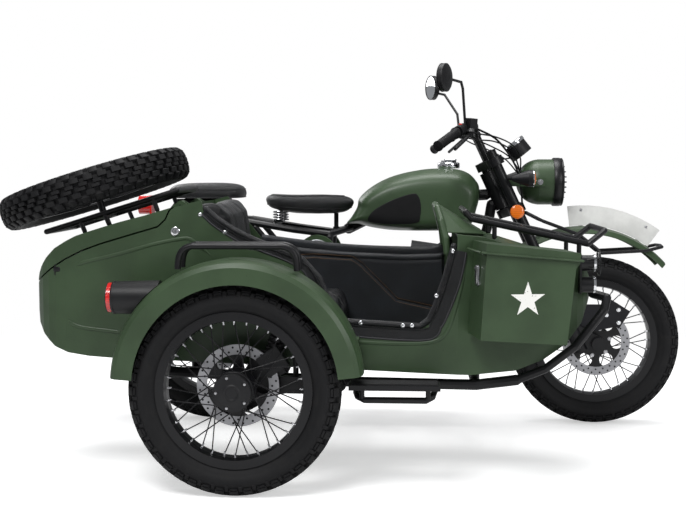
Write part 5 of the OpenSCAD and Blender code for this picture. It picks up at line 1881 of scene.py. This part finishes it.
@dataclass
class Studio:
    """Camera, lamps and floor."""

    eye: tuple[float, float, float] = (0.180, -4.262, 1.0107)
    yaw: float = 3.42
    pitch: float = -4.41
    focal: float = 61.04
    fade_end: float = 0.30
    fade_wide: float = 0.35

    def camera(self) -> None:
        """Places the camera: it looks along +Y, turned by yaw about Z and tipped by pitch."""
        data = bpy.data.cameras.new("camera")
        data.lens, data.sensor_width, data.clip_end = self.focal, 36.0, 60.0
        eye = bpy.data.objects.new("camera", data)
        bpy.context.scene.collection.objects.link(eye)
        eye.location = self.eye
        eye.rotation_euler = (math.radians(90 + self.pitch), 0.0, math.radians(self.yaw))
        bpy.context.scene.camera = eye

    def lamp(self, name: str, place: tuple[float, float, float], size: float, watts: float) -> None:
        """A square area lamp that faces the bike's middle.

        Args:
            name: The lamp's name.
            place: Where it stands, in metres.
            size: Its side, in metres.
            watts: Its power.
        """
        data = bpy.data.lights.new(name, "AREA")
        data.shape, data.size, data.energy = "SQUARE", size, watts
        made = bpy.data.objects.new(name, data)
        bpy.context.scene.collection.objects.link(made)
        turn = basis(np.asarray(place, float) - np.array([0, 0, 0.5]), (0, 0, 1))
        made.matrix_world = Matrix([[*turn[i], place[i]] for i in range(3)] + [[0, 0, 0, 1]])

    def floor(self) -> None:
        """A flat pale floor with its edge far away."""
        t = np.linspace(-30, 30, 5) * 1000
        x, y = np.meshgrid(t + 614, t - 376, indexing="ij")
        shape = sheet_of(np.stack([x, y, np.full_like(x, -0.6)], -1))
        mesh = bpy.data.meshes.new("floor")
        mesh.from_pydata(mm(shape.verts).tolist(), [], shape.quads.tolist())
        made = bpy.data.objects.new("floor", mesh)
        bpy.context.scene.collection.objects.link(made)
        tree = Tree("floor_white")
        ray = tree.node("ShaderNodeLightPath", output="Is Camera Ray")
        tree.finish(tint((0.80, 0.80, 0.80)), tree.noise(3.0) * 0.1 + 0.85)
        glow = tree.node("ShaderNodeEmission", {}, {"Color": tint((1.0, 1.0, 1.0)), "Strength": 0.50})
        mix = tree.node("ShaderNodeAddShader", {}, {0: Sig(tree, tree.shader.outputs[0]), 1: glow})
        out = tree.nodes["Material Output"]
        ball = tree.node("ShaderNodeTexGradient", {"gradient_type": "SPHERICAL"},
                         {0: tree.coordinates((0.2, 0.2, 0.2))})
        far = 1 - (ball - self.fade_end).step(0.0, self.fade_wide)
        plain = tree.node("ShaderNodeEmission", {}, {"Color": tint((1.0, 1.0, 1.0)), "Strength": 1.0})
        faded = tree.node("ShaderNodeMixShader", {}, {0: far, 1: mix, 2: plain})
        choose = tree.node("ShaderNodeMixShader", {}, {0: ray, 1: Sig(tree, tree.shader.outputs[0]), 2: faded})
        tree.links.new(choose.socket, out.inputs["Surface"])
        mesh.materials.append(tree.material)

    def sky(self) -> None:
        """A white world to the camera and a soft grey one to the object."""
        world = bpy.data.worlds.new("sky")
        bpy.context.scene.world = world
        world.use_nodes = True
        nodes, links = world.node_tree.nodes, world.node_tree.links
        nodes["Background"].inputs["Color"].default_value = (0.95, 0.97, 1.0, 1.0)
        nodes["Background"].inputs["Strength"].default_value = 0.28
        white = nodes.new("ShaderNodeBackground")
        white.inputs["Color"].default_value = (1.0, 1.0, 1.0, 1.0)
        white.inputs["Strength"].default_value = 1.0
        ray = nodes.new("ShaderNodeLightPath")
        mix = nodes.new("ShaderNodeMixShader")
        links.new(ray.outputs["Is Camera Ray"], mix.inputs[0])
        links.new(nodes["Background"].outputs[0], mix.inputs[1])
        links.new(white.outputs[0], mix.inputs[2])
        links.new(mix.outputs[0], nodes["World Output"].inputs["Surface"])

    def build(self) -> None:
        """Sets the stage."""
        bpy.context.scene.view_settings.view_transform = "Standard"
        self.camera()
        self.sky()
        self.floor()
        self.lamp("key", (-1.2, -3.6, 4.6), size=1.8, watts=190.0)
        self.lamp("fill", (3.4, -3.2, 2.4), size=1.6, watts=60.0)
        self.lamp("top", (0.2, 0.6, 4.6), size=2.4, watts=150.0)
        self.lamp("back", (-2.6, 3.6, 2.6), size=2.0, watts=50.0)


def main() -> None:
    """Builds the whole model in order."""
    logging.basicConfig(level=logging.INFO, format="%(name)s: %(message)s")
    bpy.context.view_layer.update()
    Studio().build()
    fork = ForkGear()
    fork.cables()
    Bodywork().dress()
    side, front, rear = (SIDE_LEAD, -TRACK, AXLE_Z), (WHEELBASE, 0.0, AXLE_Z), (0.0, 0.0, AXLE_Z)
    Tyre("side_tyre", "sidecar_wheel", side, Tread.KNOB).build()
    Tyre("front_tyre", "front_wheel", front, Tread.ROAD).build()
    Tyre("rear_tyre", "rear_wheel", rear, Tread.ROAD).build()
    Tyre("spare_tyre", "trunk_lid", SPARE_CENTRE, Tread.KNOB, lean=SPARE_LEAN).build()
    WheelTrim("side_wheel", "sidecar_wheel", side, disc_y=-1055.0).build()
    WheelTrim("front_wheel", "front_wheel", front, disc_y=-66.0).build()
    WheelTrim("rear_wheel", "rear_wheel", rear, disc_y=-66.0).build()
    WheelTrim("spare_wheel", "trunk_lid", SPARE_CENTRE, disc_y=None, lean=SPARE_LEAN).build()
    HubCover().build()
    Cockpit().build()
    Saddles().build()
    TubTrim().build()
    SideBox().build()
    NoseGear().build()
    RunningGear().build()
    EngineDress().build()
    TankTrim().build()
    SideCoverTrim().build()
    for hand in Side:
        BarEnd(hand).build()
    fork.build()
    FrontTrim().build()


if __name__ == "__main__":
    main()
